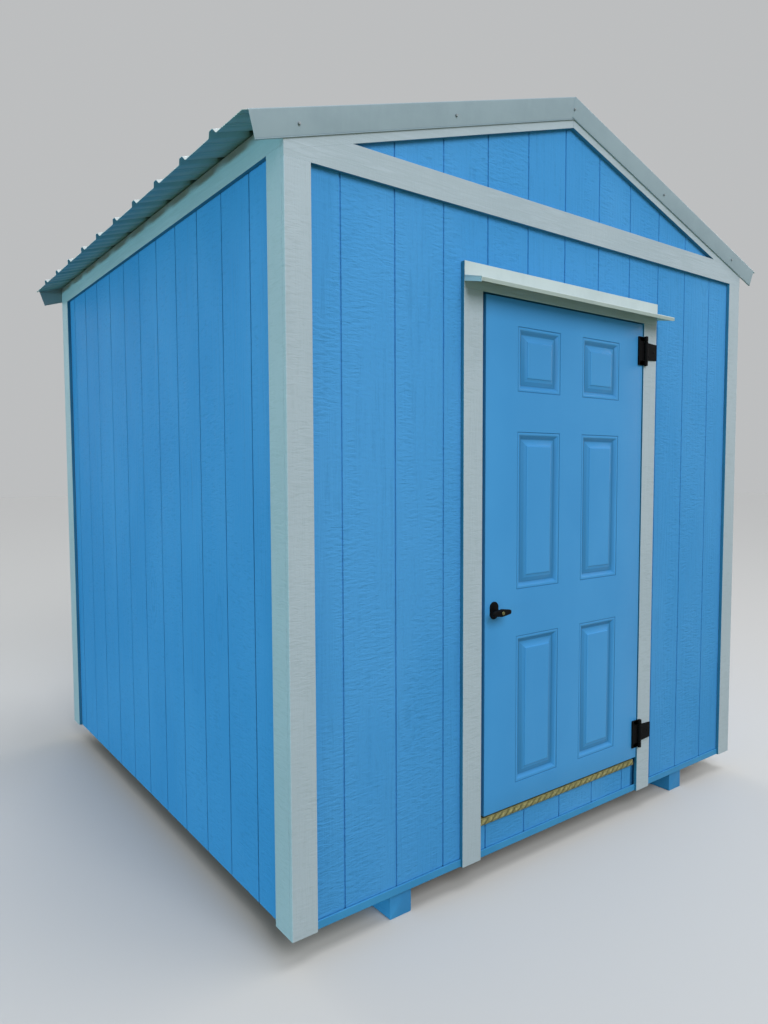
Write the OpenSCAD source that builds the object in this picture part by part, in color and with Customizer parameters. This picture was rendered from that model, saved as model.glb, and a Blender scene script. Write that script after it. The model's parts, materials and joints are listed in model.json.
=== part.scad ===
// Garden shed with a ribbed metal gable roof, grooved siding and a panelled door.
// Millimetres. Z = 0 is the ground, the front wall faces -Y and +X is to the right.
// Heights of wall pieces are measured from the foot of the siding, on top of the skids.

/* [Shed] */
// Width over the siding, left to right
shed_width = 2438.4; // [2000:0.1:3600]
// Depth over the siding, front to back
shed_depth = 2438.4; // [1800:0.1:3600]
// Height from the foot of the siding to the top of the wall plates
wall_height = 2315.5; // [2220:0.5:2800]
// Rise of the roof for each unit of run
roof_slope = 0.316; // [0.25:0.001:0.6]

/* [Floor] */
// Side of the square skids
skid_size = 89; // [60:1:140]
// Distance from the middle of the shed to the middle of each skid
skid_offset = 810; // [300:1:900]
// Thickness of the floor deck
deck_t = 16; // [12:1:25]

/* [Framing] */
// Thickness of the framing lumber
lumber_t = 38; // [30:1:50]
// Width of the framing lumber
lumber_w = 89; // [70:1:120]
// Widest spacing of studs, joists and rafters
frame_pitch = 610; // [400:1:800]
// Height of the ridge board
ridge_board_h = 140; // [110:1:190]
// Thickness of the boards that carry the roof sheets
purlin_t = 19; // [15:1:30]
// Width of the boards that carry the roof sheets
purlin_w = 89; // [60:1:120]
// Boards on each slope that carry the roof sheets
purlin_count = 4; // [3:1:6]

/* [Cladding] */
// Thickness of the siding
siding_t = 11; // [8:0.5:20]
// Thickness of the trim boards
trim_t = 16; // [10:0.5:25]
// Width of the trim boards
trim_w = 88.9; // [70:0.1:120]
// Height of the strip along the foot of the front wall
base_strip_h = 26; // [15:1:60]
// Thickness of the strip along the foot of the front wall
base_strip_t = 14; // [6:0.5:20]
// Distance down from the roof sheet to the rake boards, measured upright
rake_board_drop = 13; // [3:0.5:25]
// Open gap between the eave fascia and the roof sheet
fascia_gap = 2; // [1:0.5:10]
// Joint left between trim boards that share a node
trim_joint = 1; // [0.5:0.1:3]

/* [Roof sheets] */
// Thickness of the roof sheets and the bent sheet trim
sheet_t = 1.6; // [1:0.1:3]
// Clearance under the roof sheets and under the trim that lies on them
sheet_seat = 0.3; // [0.2:0.05:0.6]
// Reach of the roof sheets past the eave fascia
eave_reach = 127; // [60:1:250]
// Spacing of the ribs
rib_pitch = 228.6; // [150:0.1:320]
// Distance from the front edge of the roof to the middle of the first rib
rib_start = 196; // [110:1:220]
// Height of the ribs
rib_h = 15; // [8:0.5:30]
// Width of a rib at its foot
rib_foot_w = 50; // [40:1:70]
// Width of a rib at its top
rib_top_w = 22; // [12:1:35]
// Open gap between the two roof sheets, under the ridge cap
ridge_gap = 40; // [20:1:80]
// Length of each leg of the ridge cap, measured level
ridge_cap_w = 150; // [90:1:220]

/* [Rake trim] */
// Depth of the sheet trim that hangs over the gable edges of the roof
rake_trim_h = 76; // [50:1:110]
// Width of the flange of the rake trim on the roof sheets
rake_flange_w = 60; // [40:1:80]
// Distance from the face of the rake boards to the outer face of the rake trim
rake_trim_out = 10.5; // [6:0.5:30]
// Distance from the eave edge of the roof to the end of the rake trim
rake_trim_short = 16; // [5:1:50]

/* [Doorway] */
// Distance from the middle of the front wall to the middle of the doorway
doorway_offset = 3; // [-40:1:40]
// Width of the doorway between its casings
doorway_w = 936; // [800:1:1000]
// Height of the top of the doorway
doorway_head = 2008; // [1900:1:2050]
// Thickness of the jambs
jamb_t = 19; // [12:1:30]
// Depth of the door stops behind the door
stop_depth = 36; // [20:1:40]
// Width of the door stops across the doorway
stop_w = 30; // [25:1:40]
// Thickness of the threshold plate on the sill
threshold_t = 3; // [2:0.5:6]
// Height of the nosing at the front of the threshold
nosing_h = 25; // [15:1:40]
// Distance from the right casing to the end of the nosing
nosing_short = 26; // [5:1:60]
// Reach of the drip cap in front of the casings
drip_reach = 83; // [40:1:110]
// Depth of the upright leg of the drip cap
drip_leg_h = 62; // [40:1:75]
// Depth of the drip cap's end tabs at their outer ends
drip_tab_h = 16; // [6:1:20]
// Depth of the drip cap's end tabs at the casing
drip_tab_root_h = 4; // [3:0.5:6]

/* [Door] */
// Thickness of the door
door_t = 44; // [35:1:50]
// Distance from the face of the casings back to the face of the door
door_recess = 3; // [0:0.5:8]
// Gap between the door and the casing on the hinge side
hinge_side_gap = 5; // [4:0.5:10]
// Gap between the door and the casing on the handle side
lock_side_gap = 17; // [5:0.5:20]
// Gap between the door and the header trim
head_gap = 5; // [5:0.5:15]
// Gap between the door and the threshold
sill_gap = 6; // [5:0.5:15]
// Gap between the door and its stops
stop_gap = 5; // [5:0.5:10]
// Width of the door's side stiles
stile_w = 164; // [130:1:180]
// Width of the stile between the panels
mid_stile_w = 138; // [80:1:180]
// Height of the bottom rail
bottom_rail_h = 88; // [60:1:200]
// Height of the lowest panels
low_panel_h = 543; // [400:1:560]
// Height of the rail at the handle
lock_rail_h = 181; // [120:1:220]
// Height of the middle panels
mid_panel_h = 566; // [400:1:580]
// Height of the rail over the middle panels
upper_rail_h = 152; // [100:1:180]
// Height of the top rail
top_rail_h = 97; // [60:1:140]
// Width of the sunk moulding round each panel
moulding_w = 26; // [15:1:40]
// Depth of the sunk moulding
moulding_depth = 6; // [3:0.5:10]

/* [Hinges] */
// Diameter of the hinge barrels
barrel_d = 16; // [12:0.5:20]
// Diameter of the hinge pins
pin_d = 7; // [5:0.5:9]
// Clearance on the diameter between a pin and its knuckle
pin_clearance = 0.2; // [0.1:0.05:0.8]
// Height of the hinge barrels
barrel_h = 118; // [95:1:150]
// Height of the knuckle on the casing
frame_knuckle_h = 76; // [55:1:84]
// Gap between knuckles
knuckle_gap = 1; // [0.5:0.1:2]
// Thickness of the hinge leaves
hinge_leaf_t = 4; // [3:0.5:6]
// Width of the plate on the door
door_plate_w = 35; // [25:1:50]
// Height of the casing leaf at its tip
leaf_tip_h = 66; // [40:1:76]
// Distance from the edge of the casing to the tip of the casing leaf
leaf_tip_short = 3; // [1:0.5:15]
// Distance from the edge of the casing to the hinge axis
axis_over_casing = 3; // [0:0.5:8]
// Height of the middle of the lower hinge
lower_hinge_z = 258; // [230:1:500]
// Height of the middle of the upper hinge
upper_hinge_z = 1892; // [1500:1:1900]

/* [Handle] */
// Distance from the free edge of the door to the handle
handle_backset = 44; // [36:1:75]
// Height of the handle
handle_z = 893; // [800:1:950]
// Width of the plates behind the handle, which have round ends
rose_w = 42; // [38:1:50]
// Height of the plates behind the handle
rose_h = 63; // [54:1:90]
// Thickness of the plates
rose_t = 5; // [3:0.5:10]
// Diameter of the handle's stem
stem_d = 22; // [18:0.5:26]
// Distance from the door to the front of the handle bar
handle_reach = 48; // [40:1:65]
// Length of the handle bar
bar_l = 92; // [80:1:110]
// Height of the handle bar at the stem
bar_hub_h = 28; // [26:0.5:36]
// Height of the handle bar at its ends
bar_tip_h = 15; // [10:0.5:20]
// Depth of the handle bar from front to back
bar_t = 16; // [12:0.5:20]
// Diameter of the spindle through the door
spindle_d = 12; // [8:0.5:16]
// Clearance on the diameter of the stem and the spindle
turn_clearance = 1; // [0.4:0.1:2]
// Thickness of the turn piece on the inside of the door
inner_turn_t = 14; // [8:0.5:20]
// Diameter of the turn piece on the inside of the door
inner_turn_d = 36; // [26:0.5:46]
// Diameter of the key cylinder
key_d = 13; // [9:0.5:16]
// Depth of the key cylinder in the bar
key_depth = 8; // [4:0.5:11]
// Distance that the key cylinder stands out of the bar
key_out = 1.5; // [0.5:0.5:4]

/* [Hidden] */

// Rounds are drawn with this many sides
$fn = 48;
// Overshoot of cutting shapes
cut = 1;

// Half sizes over the siding, the trim and the framing
half_w = shed_width / 2;
half_d = shed_depth / 2;
trim_half_w = half_w + trim_t;
trim_half_d = half_d + trim_t;
frame_half_w = half_w - siding_t;
frame_half_d = half_d - siding_t;
inner_half_w = frame_half_w - lumber_w;
inner_half_d = frame_half_d - lumber_w;

// Levels from the ground up
foot_z = skid_size;
joist_top = foot_z + lumber_w;
deck_top = joist_top + deck_t;
sill_top = deck_top + lumber_t;
threshold_top = sill_top + threshold_t;
plate_top = foot_z + wall_height;
plate_low = plate_top - lumber_t;
head_z = foot_z + doorway_head;
header_trim_top = head_z + trim_w;

// Roof lines: each is the height of a sloped face over the middle of the shed
slope_angle = atan(roof_slope);
upright = 1 / cos(slope_angle);
rafter_low_0 = plate_top + roof_slope * inner_half_w;
rafter_top_0 = rafter_low_0 + lumber_w * upright;
sheet_low_0 = rafter_top_0 + (purlin_t + sheet_seat) * upright;
sheet_top_0 = sheet_low_0 + sheet_t * upright;
ridge_cap_0 = sheet_top_0 + (rib_h + sheet_seat) * upright;
rake_trim_0 = sheet_top_0 + (sheet_seat + sheet_t) * upright;
rake_board_0 = sheet_low_0 - rake_board_drop;
rake_low_0 = rake_board_0 - trim_w * upright;

// Edges of the roof
eave_x = trim_half_w + eave_reach;
rake_face_d = trim_half_d + rake_trim_out;
sheet_half_d = rake_face_d - sheet_t - sheet_seat;
rake_end_x = eave_x - rake_trim_short;

// Trim levels on the walls
frieze_low = plate_top - trim_w / 2;
fascia_top = line_z(sheet_low_0, trim_half_w) - fascia_gap;
fascia_low = fascia_top - trim_w;
side_siding_top = line_z(rafter_top_0, half_w);

// Edges of the doorway and the door
doorway_left = doorway_offset - doorway_w / 2;
doorway_right = doorway_offset + doorway_w / 2;
door_left = doorway_left + lock_side_gap;
door_right = doorway_right - hinge_side_gap;
door_low = threshold_top + sill_gap;
door_top = head_z - head_gap;
door_face = -trim_half_d + door_recess;
door_back = door_face + door_t;
stop_front = door_back + stop_gap;

// Panel rows of the door, from the bottom
panel_w = (door_right - door_left - 2 * stile_w - mid_stile_w) / 2;
low_row = door_low + bottom_rail_h;
mid_row = low_row + low_panel_h + lock_rail_h;
top_row = mid_row + mid_panel_h + upper_rail_h;
top_panel_h = door_top - top_rail_h - top_row;
panel_rows = [
    [low_row, low_panel_h],
    [mid_row, mid_panel_h],
    [top_row, top_panel_h]
];
panel_lefts = [door_left + stile_w, door_left + stile_w + panel_w + mid_stile_w];

// Hinge axis and handle axis
hinge_x = doorway_right + axis_over_casing;
hinge_y = -trim_half_d - barrel_d / 2;
hinge_heights = [foot_z + lower_hinge_z, foot_z + upper_hinge_z];
door_knuckle_h = (barrel_h - frame_knuckle_h) / 2 - knuckle_gap;
handle_x = door_left + handle_backset;
handle_height = foot_z + handle_z;
drip_front = -trim_half_d - drip_reach;
drip_flange_z = header_trim_top - drip_leg_h;

// The origin lies under the middle of the whole part, from the drip cap to the back rake trim
frame_shift = -(drip_front + rake_face_d) / 2;

// Evenly spaced middles of pieces of thickness t between two limits
stud_gaps = function(low, high, t) ceil((high - low - t) / frame_pitch);
spaced = function(low, high, t)
    let(gaps = stud_gaps(low, high, t))
    [for (i = [0 : gaps]) low + t / 2 + (high - low - t) * i / gaps];

// Height of a roof line at a distance from the middle
function line_z(line_0, x) = line_0 - roof_slope * abs(x);

// Shift from the shed's own middle to the part's origin
module placed() {
    translate([0, frame_shift, 0]) children();
}

// Box between two opposite corners
module box(low, high) {
    translate(low) cube(high - low);
}

// Outline in X and Z, carried along Y between two places
module along_y(low, high) {
    translate([0, high, 0])
        rotate([90, 0, 0])
            linear_extrude(height = high - low) children();
}

// Outline in Y and Z, carried along X between two places
module along_x(low, high) {
    translate([low, 0, 0])
        rotate([90, 0, 90])
            linear_extrude(height = high - low) children();
}

module both_sides() {
    children();
    mirror([1, 0, 0]) children();
}

module both_ends() {
    children();
    mirror([0, 1, 0]) children();
}

// Sloped band from x0 to x1 under a roof line, with upright ends
module slope_band(x0, x1, line_0, depth) {
    polygon([
        [x0, line_z(line_0, x0)],
        [x1, line_z(line_0, x1)],
        [x1, line_z(line_0, x1) - depth * upright],
        [x0, line_z(line_0, x0) - depth * upright]
    ]);
}

// Sloped band whose lower end is cut square to the slope
module square_cut_band(x0, x1, line_0, depth) {
    polygon([
        [x0, line_z(line_0, x0)],
        [x1, line_z(line_0, x1)],
        [x1 - depth * sin(slope_angle), line_z(line_0, x1) - depth * cos(slope_angle)],
        [x0, line_z(line_0, x0) - depth * upright]
    ]);
}

module skids() {
    color("steelblue")
        placed()
            both_sides()
                box([skid_offset - skid_size / 2, -frame_half_d, 0],
                    [skid_offset + skid_size / 2, frame_half_d, skid_size]);
}

module floor_joists() {
    color("burlywood")
        placed()
            for (y = spaced(-frame_half_d, frame_half_d, lumber_t))
                box([-frame_half_w + lumber_t, y - lumber_t / 2, foot_z],
                    [frame_half_w - lumber_t, y + lumber_t / 2, joist_top]);
}

module floor_rims() {
    color("tan")
        placed()
            both_sides()
                box([frame_half_w - lumber_t, -frame_half_d, foot_z],
                    [frame_half_w, frame_half_d, joist_top]);
}

module floor_deck() {
    color("wheat")
        placed()
            box([-frame_half_w, -frame_half_d, joist_top],
                [frame_half_w, frame_half_d, deck_top]);
}

// Sill and top plates of the left and right walls
module side_wall_plates() {
    color("burlywood")
        placed()
            both_sides() {
                box([inner_half_w, -frame_half_d, deck_top], [frame_half_w, frame_half_d, sill_top]);
                box([inner_half_w, -frame_half_d, plate_low], [frame_half_w, frame_half_d, plate_top]);
            }
}

// Sill and top plates of the front and back walls, between those of the side walls
module end_wall_plates() {
    color("tan")
        placed()
            both_ends() {
                box([-inner_half_w, inner_half_d, deck_top], [inner_half_w, frame_half_d, sill_top]);
                box([-inner_half_w, inner_half_d, plate_low], [inner_half_w, frame_half_d, plate_top]);
            }
}

module side_wall_studs() {
    color("burlywood")
        placed()
            both_sides()
                for (y = spaced(-frame_half_d, frame_half_d, lumber_t))
                    box([inner_half_w, y - lumber_t / 2, sill_top],
                        [frame_half_w, y + lumber_t / 2, plate_low]);
}

// One stud of the front wall, with its left face at x
module front_stud(x) {
    box([x, -frame_half_d, sill_top], [x + lumber_t, -inner_half_d, plate_low]);
}

module end_wall_studs() {
    color("tan")
        placed() {
            for (x = spaced(-inner_half_w, inner_half_w, lumber_t))
                box([x - lumber_t / 2, inner_half_d, sill_top],
                    [x + lumber_t / 2, frame_half_d, plate_low]);
            post_left = doorway_left - jamb_t - lumber_t;
            post_right = doorway_right + jamb_t;
            front_stud(-inner_half_w);
            front_stud((post_left - inner_half_w) / 2);
            front_stud(post_left);
            front_stud(post_right);
            front_stud((post_right + inner_half_w - lumber_t) / 2);
            front_stud(inner_half_w - lumber_t);
        }
}

// Beam between the posts, over the doorway
module door_header() {
    color("peru")
        placed()
            box([doorway_left - jamb_t, -frame_half_d, head_z + jamb_t],
                [doorway_right + jamb_t, -inner_half_d, head_z + jamb_t + lumber_w]);
}

module side_siding_sheet() {
    box([frame_half_w, -frame_half_d, foot_z], [half_w, frame_half_d, side_siding_top]);
}

module left_siding() {
    color("cornflowerblue")
        placed()
            mirror([1, 0, 0]) side_siding_sheet();
}

module right_siding() {
    color("cornflowerblue")
        placed()
            side_siding_sheet();
}

module back_siding() {
    color("skyblue")
        placed()
            box([-half_w, frame_half_d, foot_z], [half_w, half_d, plate_top]);
}

// Siding over the wall plates, up to the top of the rafters
module gable_outline() {
    polygon([
        [-half_w, plate_top],
        [half_w, plate_top],
        [half_w, side_siding_top],
        [0, rafter_top_0],
        [-half_w, side_siding_top]
    ]);
}

module back_gable_siding() {
    color("deepskyblue")
        placed()
            along_y(frame_half_d, half_d) gable_outline();
}

module front_gable_siding() {
    color("deepskyblue")
        placed()
            along_y(-half_d, -frame_half_d) gable_outline();
}

// Piece of the front wall's siding between two places and two heights
module front_sheet(left, right, low, high) {
    box([left, -half_d, low], [right, -frame_half_d, high]);
}

module front_siding_left() {
    color("skyblue")
        placed()
            front_sheet(-half_w, doorway_left - jamb_t, foot_z, plate_top);
}

module front_siding_right() {
    color("skyblue")
        placed()
            front_sheet(doorway_right + jamb_t, half_w, foot_z, plate_top);
}

module front_siding_over_door() {
    color("lightskyblue")
        placed()
            front_sheet(doorway_left - jamb_t, doorway_right + jamb_t, head_z + jamb_t, plate_top);
}

module front_siding_below_door() {
    color("lightskyblue")
        placed()
            front_sheet(doorway_left - jamb_t, doorway_right + jamb_t, foot_z, sill_top);
}

// Piece of the strip along the foot of the front wall
module base_strip(left, right) {
    box([left, -half_d - base_strip_t, foot_z], [right, -half_d, foot_z + base_strip_h]);
}

module base_strips() {
    color("lightblue")
        placed() {
            base_strip(-trim_half_w + trim_w, doorway_left - trim_w);
            base_strip(doorway_left, doorway_right);
            base_strip(doorway_right + trim_w, trim_half_w - trim_w);
        }
}

// Corner boards on the front and back faces
module end_corner_boards() {
    color("white")
        placed()
            both_ends()
                both_sides()
                    box([trim_half_w - trim_w, half_d, foot_z], [trim_half_w, trim_half_d, frieze_low]);
}

// Corner boards on the left and right faces, behind those of the front and back
module side_corner_boards() {
    color("gainsboro")
        placed()
            both_ends()
                both_sides()
                    box([half_w, half_d - trim_w, foot_z], [trim_half_w, half_d, fascia_low]);
}

module eave_fascias() {
    color("whitesmoke")
        placed()
            both_sides()
                box([half_w, -half_d, fascia_low], [trim_half_w, half_d, fascia_top]);
}

// Board over the joint of wall and gable siding, cut to the slope of the rake boards
module frieze_outline() {
    intersection() {
        translate([-trim_half_w, frieze_low]) square([2 * trim_half_w, trim_w]);
        polygon([
            [-trim_half_w, plate_low - trim_w],
            [trim_half_w, plate_low - trim_w],
            [trim_half_w, line_z(rake_low_0, trim_half_w) - trim_joint],
            [0, rake_low_0 - trim_joint],
            [-trim_half_w, line_z(rake_low_0, trim_half_w) - trim_joint]
        ]);
    }
}

module frieze_boards() {
    color("whitesmoke")
        placed() {
            along_y(half_d, trim_half_d) frieze_outline();
            along_y(-trim_half_d, -half_d) frieze_outline();
        }
}

module rake_board_pair() {
    both_sides()
        along_y(half_d, trim_half_d)
            slope_band(trim_joint / 2, trim_half_w, rake_board_0, trim_w);
}

module front_rake_boards() {
    color("white")
        placed()
            mirror([0, 1, 0]) rake_board_pair();
}

module back_rake_boards() {
    color("white")
        placed()
            rake_board_pair();
}

module door_casings() {
    color("white")
        placed() {
            box([doorway_left - trim_w, -trim_half_d, foot_z], [doorway_left, -half_d, head_z]);
            box([doorway_right, -trim_half_d, foot_z], [doorway_right + trim_w, -half_d, head_z]);
        }
}

module door_header_trim() {
    color("whitesmoke")
        placed()
            box([doorway_left - trim_w, -trim_half_d, head_z],
                [doorway_right + trim_w, -half_d, header_trim_top]);
}

// End tab of the drip cap, deeper at its outer end
module drip_tab_outline() {
    polygon([
        [-trim_half_d, drip_flange_z],
        [drip_front, drip_flange_z],
        [drip_front, drip_flange_z - drip_tab_h],
        [-trim_half_d, drip_flange_z - drip_tab_root_h]
    ]);
}

// Bent sheet over the doorway: an upright leg, a level flange and two end tabs
module drip_cap() {
    left = doorway_left - trim_w;
    right = doorway_right + trim_w;
    color("snow")
        placed() {
            box([left, -trim_half_d - sheet_t, drip_flange_z], [right, -trim_half_d, header_trim_top]);
            box([left, drip_front, drip_flange_z], [right, -trim_half_d, drip_flange_z + sheet_t]);
            along_x(left, left + sheet_t) drip_tab_outline();
            along_x(right - sheet_t, right) drip_tab_outline();
        }
}

// Plate over the sill with a nosing down the front
module threshold() {
    nosing_right = doorway_right - nosing_short;
    color("goldenrod")
        placed() {
            box([doorway_left, -trim_half_d, sill_top], [nosing_right, -inner_half_d, threshold_top]);
            box([doorway_left, -trim_half_d, threshold_top - nosing_h], [nosing_right, -half_d, threshold_top]);
        }
}

// Side jambs on the sill, and the head jamb that lies between the posts on top of them
module door_jambs() {
    color("lightsteelblue")
        placed() {
            box([doorway_left - jamb_t, -half_d, sill_top], [doorway_left, -inner_half_d, head_z - trim_joint]);
            box([doorway_right, -half_d, sill_top], [doorway_right + jamb_t, -inner_half_d, head_z - trim_joint]);
            box([doorway_left - jamb_t, -half_d, head_z], [doorway_right + jamb_t, -inner_half_d, head_z + jamb_t]);
        }
}

// Strips behind the door: one on each side jamb and one under the head jamb between them
module door_stops() {
    stop_back = stop_front + stop_depth;
    color("slategray")
        placed() {
            box([doorway_left, stop_front, threshold_top + trim_joint], [doorway_left + stop_w, stop_back, head_z]);
            box([doorway_right - stop_w, stop_front, threshold_top + trim_joint], [doorway_right, stop_back, head_z]);
            box([doorway_left + stop_w + trim_joint, stop_front, head_z - stop_w],
                [doorway_right - stop_w - trim_joint, stop_back, head_z]);
        }
}

// One rafter from the ridge board to the outer face of the wall, with a level seat on the plate
module rafter_outline() {
    ridge_x = lumber_t / 2;
    polygon([
        [ridge_x, line_z(rafter_top_0, ridge_x)],
        [frame_half_w, line_z(rafter_top_0, frame_half_w)],
        [frame_half_w, plate_top],
        [inner_half_w, plate_top],
        [ridge_x, line_z(rafter_low_0, ridge_x)]
    ]);
}

module rafters() {
    color("burlywood")
        placed()
            for (y = spaced(-frame_half_d, frame_half_d, lumber_t))
                both_sides()
                    along_y(y - lumber_t / 2, y + lumber_t / 2) rafter_outline();
}

module ridge_board() {
    ridge_top = line_z(rafter_top_0, lumber_t / 2);
    color("peru")
        placed()
            box([-lumber_t / 2, -frame_half_d, ridge_top - ridge_board_h],
                [lumber_t / 2, frame_half_d, ridge_top]);
}

// Boards across the rafters, the first beside the ridge and the last at the eave
module roof_purlins() {
    slope_length = frame_half_w * upright;
    first = ridge_gap + purlin_w / 2;
    last = slope_length - purlin_w / 2;
    color("tan")
        placed()
            both_sides()
                for (i = [0 : purlin_count - 1])
                    along_y(-half_d, half_d)
                        translate([0, rafter_top_0])
                            rotate(-slope_angle)
                                translate([first + (last - first) * i / (purlin_count - 1) - purlin_w / 2, 0])
                                    square([purlin_w, purlin_t]);
}

// Middles of the ribs, as far as the flange of the back rake trim
rib_room = 2 * rake_face_d - rake_flange_w - rib_foot_w - rib_start;
rib_places = [for (i = [0 : floor(rib_room / rib_pitch)]) -rake_face_d + rib_start + i * rib_pitch];

// Upper edge of the ribbed sheet, raised by lift
rib_edge = function(lift) [
    [-sheet_half_d, lift],
    for (y = rib_places) each [
        [y - rib_foot_w / 2, lift],
        [y - rib_top_w / 2, lift + rib_h],
        [y + rib_top_w / 2, lift + rib_h],
        [y + rib_foot_w / 2, lift]
    ],
    [sheet_half_d, lift]
];
reversed = function(points) [for (i = [len(points) - 1 : -1 : 0]) points[i]];

module roof_sheet() {
    start = ridge_gap / 2 * upright;
    translate([0, 0, sheet_low_0])
        rotate([0, slope_angle, 0])
            along_x(start, eave_x * upright)
                polygon(concat(rib_edge(0), reversed(rib_edge(sheet_t))));
}

module roof_sheet_left() {
    color("lightgray")
        placed()
            mirror([1, 0, 0]) roof_sheet();
}

module roof_sheet_right() {
    color("lightgray")
        placed()
            roof_sheet();
}

// Bent sheet on the ribs along the ridge, between the flanges of the rake trims
module ridge_cap() {
    cap_half_d = rake_face_d - rake_flange_w - trim_joint;
    cap_top_0 = ridge_cap_0 + sheet_t * upright;
    color("silver")
        placed()
            along_y(-cap_half_d, cap_half_d)
                polygon([
                    [-ridge_cap_w, line_z(ridge_cap_0, ridge_cap_w)],
                    [0, ridge_cap_0],
                    [ridge_cap_w, line_z(ridge_cap_0, ridge_cap_w)],
                    [ridge_cap_w, line_z(cap_top_0, ridge_cap_w)],
                    [0, cap_top_0],
                    [-ridge_cap_w, line_z(cap_top_0, ridge_cap_w)]
                ]);
}

// Angle of sheet on each gable edge: a flange on the roof sheet and a leg down its end
module rake_trim_pair() {
    both_sides() {
        along_y(rake_face_d - sheet_t, rake_face_d)
            square_cut_band(trim_joint / 2, rake_end_x, rake_trim_0, rake_trim_h);
        along_y(rake_face_d - rake_flange_w, rake_face_d)
            square_cut_band(trim_joint / 2, rake_end_x, rake_trim_0, sheet_t);
    }
}

module front_rake_trim() {
    color("silver")
        placed()
            mirror([0, 1, 0]) rake_trim_pair();
}

module back_rake_trim() {
    color("silver")
        placed()
            rake_trim_pair();
}

// Groove of the moulding round one panel
module panel_groove(left, low, height) {
    difference() {
        box([left, door_face - cut, low],
            [left + panel_w, door_face + moulding_depth, low + height]);
        box([left + moulding_w, door_face - 2 * cut, low + moulding_w],
            [left + panel_w - moulding_w, door_face + moulding_depth + cut, low + height - moulding_w]);
    }
}

module door_slab() {
    color("dodgerblue")
        placed()
            difference() {
                box([door_left, door_face, door_low], [door_right, door_back, door_top]);
                for (row = panel_rows)
                    for (left = panel_lefts)
                        panel_groove(left, row[0], row[1]);
                translate([handle_x, door_face - cut, handle_height])
                    rotate([-90, 0, 0])
                        cylinder(d = spindle_d + turn_clearance, h = door_t + 2 * cut);
            }
}

// Upright cylinder on the hinge axis
module on_axis(z, d, h) {
    translate([hinge_x, hinge_y, z]) cylinder(d = d, h = h);
}

// Plate on the door, its two knuckles and the pin through the whole barrel
module hinge_door_leaf(z) {
    low = z - barrel_h / 2;
    high = z + barrel_h / 2;
    plate_right = doorway_right - hinge_side_gap;
    box([plate_right - door_plate_w, door_face - hinge_leaf_t - door_recess, low], [plate_right, door_face, high]);
    for (knuckle_low = [low, high - door_knuckle_h]) {
        on_axis(knuckle_low, barrel_d, door_knuckle_h);
        box([plate_right - door_plate_w, -trim_half_d - hinge_leaf_t, knuckle_low],
            [hinge_x, -trim_half_d - hinge_leaf_t / 4, knuckle_low + door_knuckle_h]);
    }
    on_axis(low, pin_d, barrel_h);
}

module hinge_door_leaves() {
    color("black")
        placed()
            for (z = hinge_heights)
                hinge_door_leaf(z);
}

// Tapered leaf on the casing with the bored knuckle in the middle of the barrel
module hinge_casing_leaf(z) {
    tip_x = doorway_right + trim_w - leaf_tip_short;
    difference() {
        union() {
            on_axis(z - frame_knuckle_h / 2, barrel_d, frame_knuckle_h);
            along_y(-trim_half_d - hinge_leaf_t, -trim_half_d)
                polygon([
                    [hinge_x, z - frame_knuckle_h / 2],
                    [tip_x, z - leaf_tip_h / 2],
                    [tip_x, z + leaf_tip_h / 2],
                    [hinge_x, z + frame_knuckle_h / 2]
                ]);
        }
        on_axis(z - frame_knuckle_h / 2 - cut, pin_d + pin_clearance, frame_knuckle_h + 2 * cut);
    }
}

module hinge_casing_leaves() {
    color("dimgray")
        placed()
            for (z = hinge_heights)
                hinge_casing_leaf(z);
}

// Cylinder along the handle's axis, from y0 to y1
module on_handle(y0, y1, d) {
    translate([handle_x, y0, handle_height])
        rotate([-90, 0, 0])
            cylinder(d = d, h = y1 - y0);
}

// Upright outline with round ends, of one plate behind the handle
module rose_outline() {
    end_offset = (rose_h - rose_w) / 2;
    translate([handle_x, handle_height]) {
        for (z = [-end_offset, end_offset])
            translate([0, z]) circle(d = rose_w);
        square([rose_w, 2 * end_offset], center = true);
    }
}

// Plates on both faces of the door
module handle_roses() {
    color("black")
        placed() {
            difference() {
                along_y(door_face - rose_t, door_face) rose_outline();
                on_handle(door_face - rose_t - cut, door_face + cut, stem_d + turn_clearance);
            }
            difference() {
                along_y(door_back, door_back + rose_t) rose_outline();
                on_handle(door_back - cut, door_back + rose_t + cut, spindle_d + turn_clearance);
            }
        }
}

// Bar across the stem, tapered towards both ends
module bar_outline() {
    polygon([
        [handle_x - bar_l / 2, handle_height - bar_tip_h / 2],
        [handle_x, handle_height - bar_hub_h / 2],
        [handle_x + bar_l / 2, handle_height - bar_tip_h / 2],
        [handle_x + bar_l / 2, handle_height + bar_tip_h / 2],
        [handle_x, handle_height + bar_hub_h / 2],
        [handle_x - bar_l / 2, handle_height + bar_tip_h / 2]
    ]);
}

// Bar, stem, spindle through the door and the turn piece on the inside
module t_handle() {
    bar_front = door_face - handle_reach;
    inner_low = door_back + rose_t + turn_clearance / 2;
    color("dimgray")
        placed()
            difference() {
                union() {
                    along_y(bar_front, bar_front + bar_t) bar_outline();
                    on_handle(bar_front + bar_t / 2, door_face, stem_d);
                    on_handle(bar_front + bar_t, inner_low + inner_turn_t, spindle_d);
                    on_handle(inner_low, inner_low + inner_turn_t, inner_turn_d);
                }
                on_handle(bar_front - cut, bar_front + key_depth, key_d);
            }
}

module key_cylinder() {
    bar_front = door_face - handle_reach;
    color("gold")
        placed()
            on_handle(bar_front - key_out, bar_front + key_depth, key_d);
}

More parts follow.
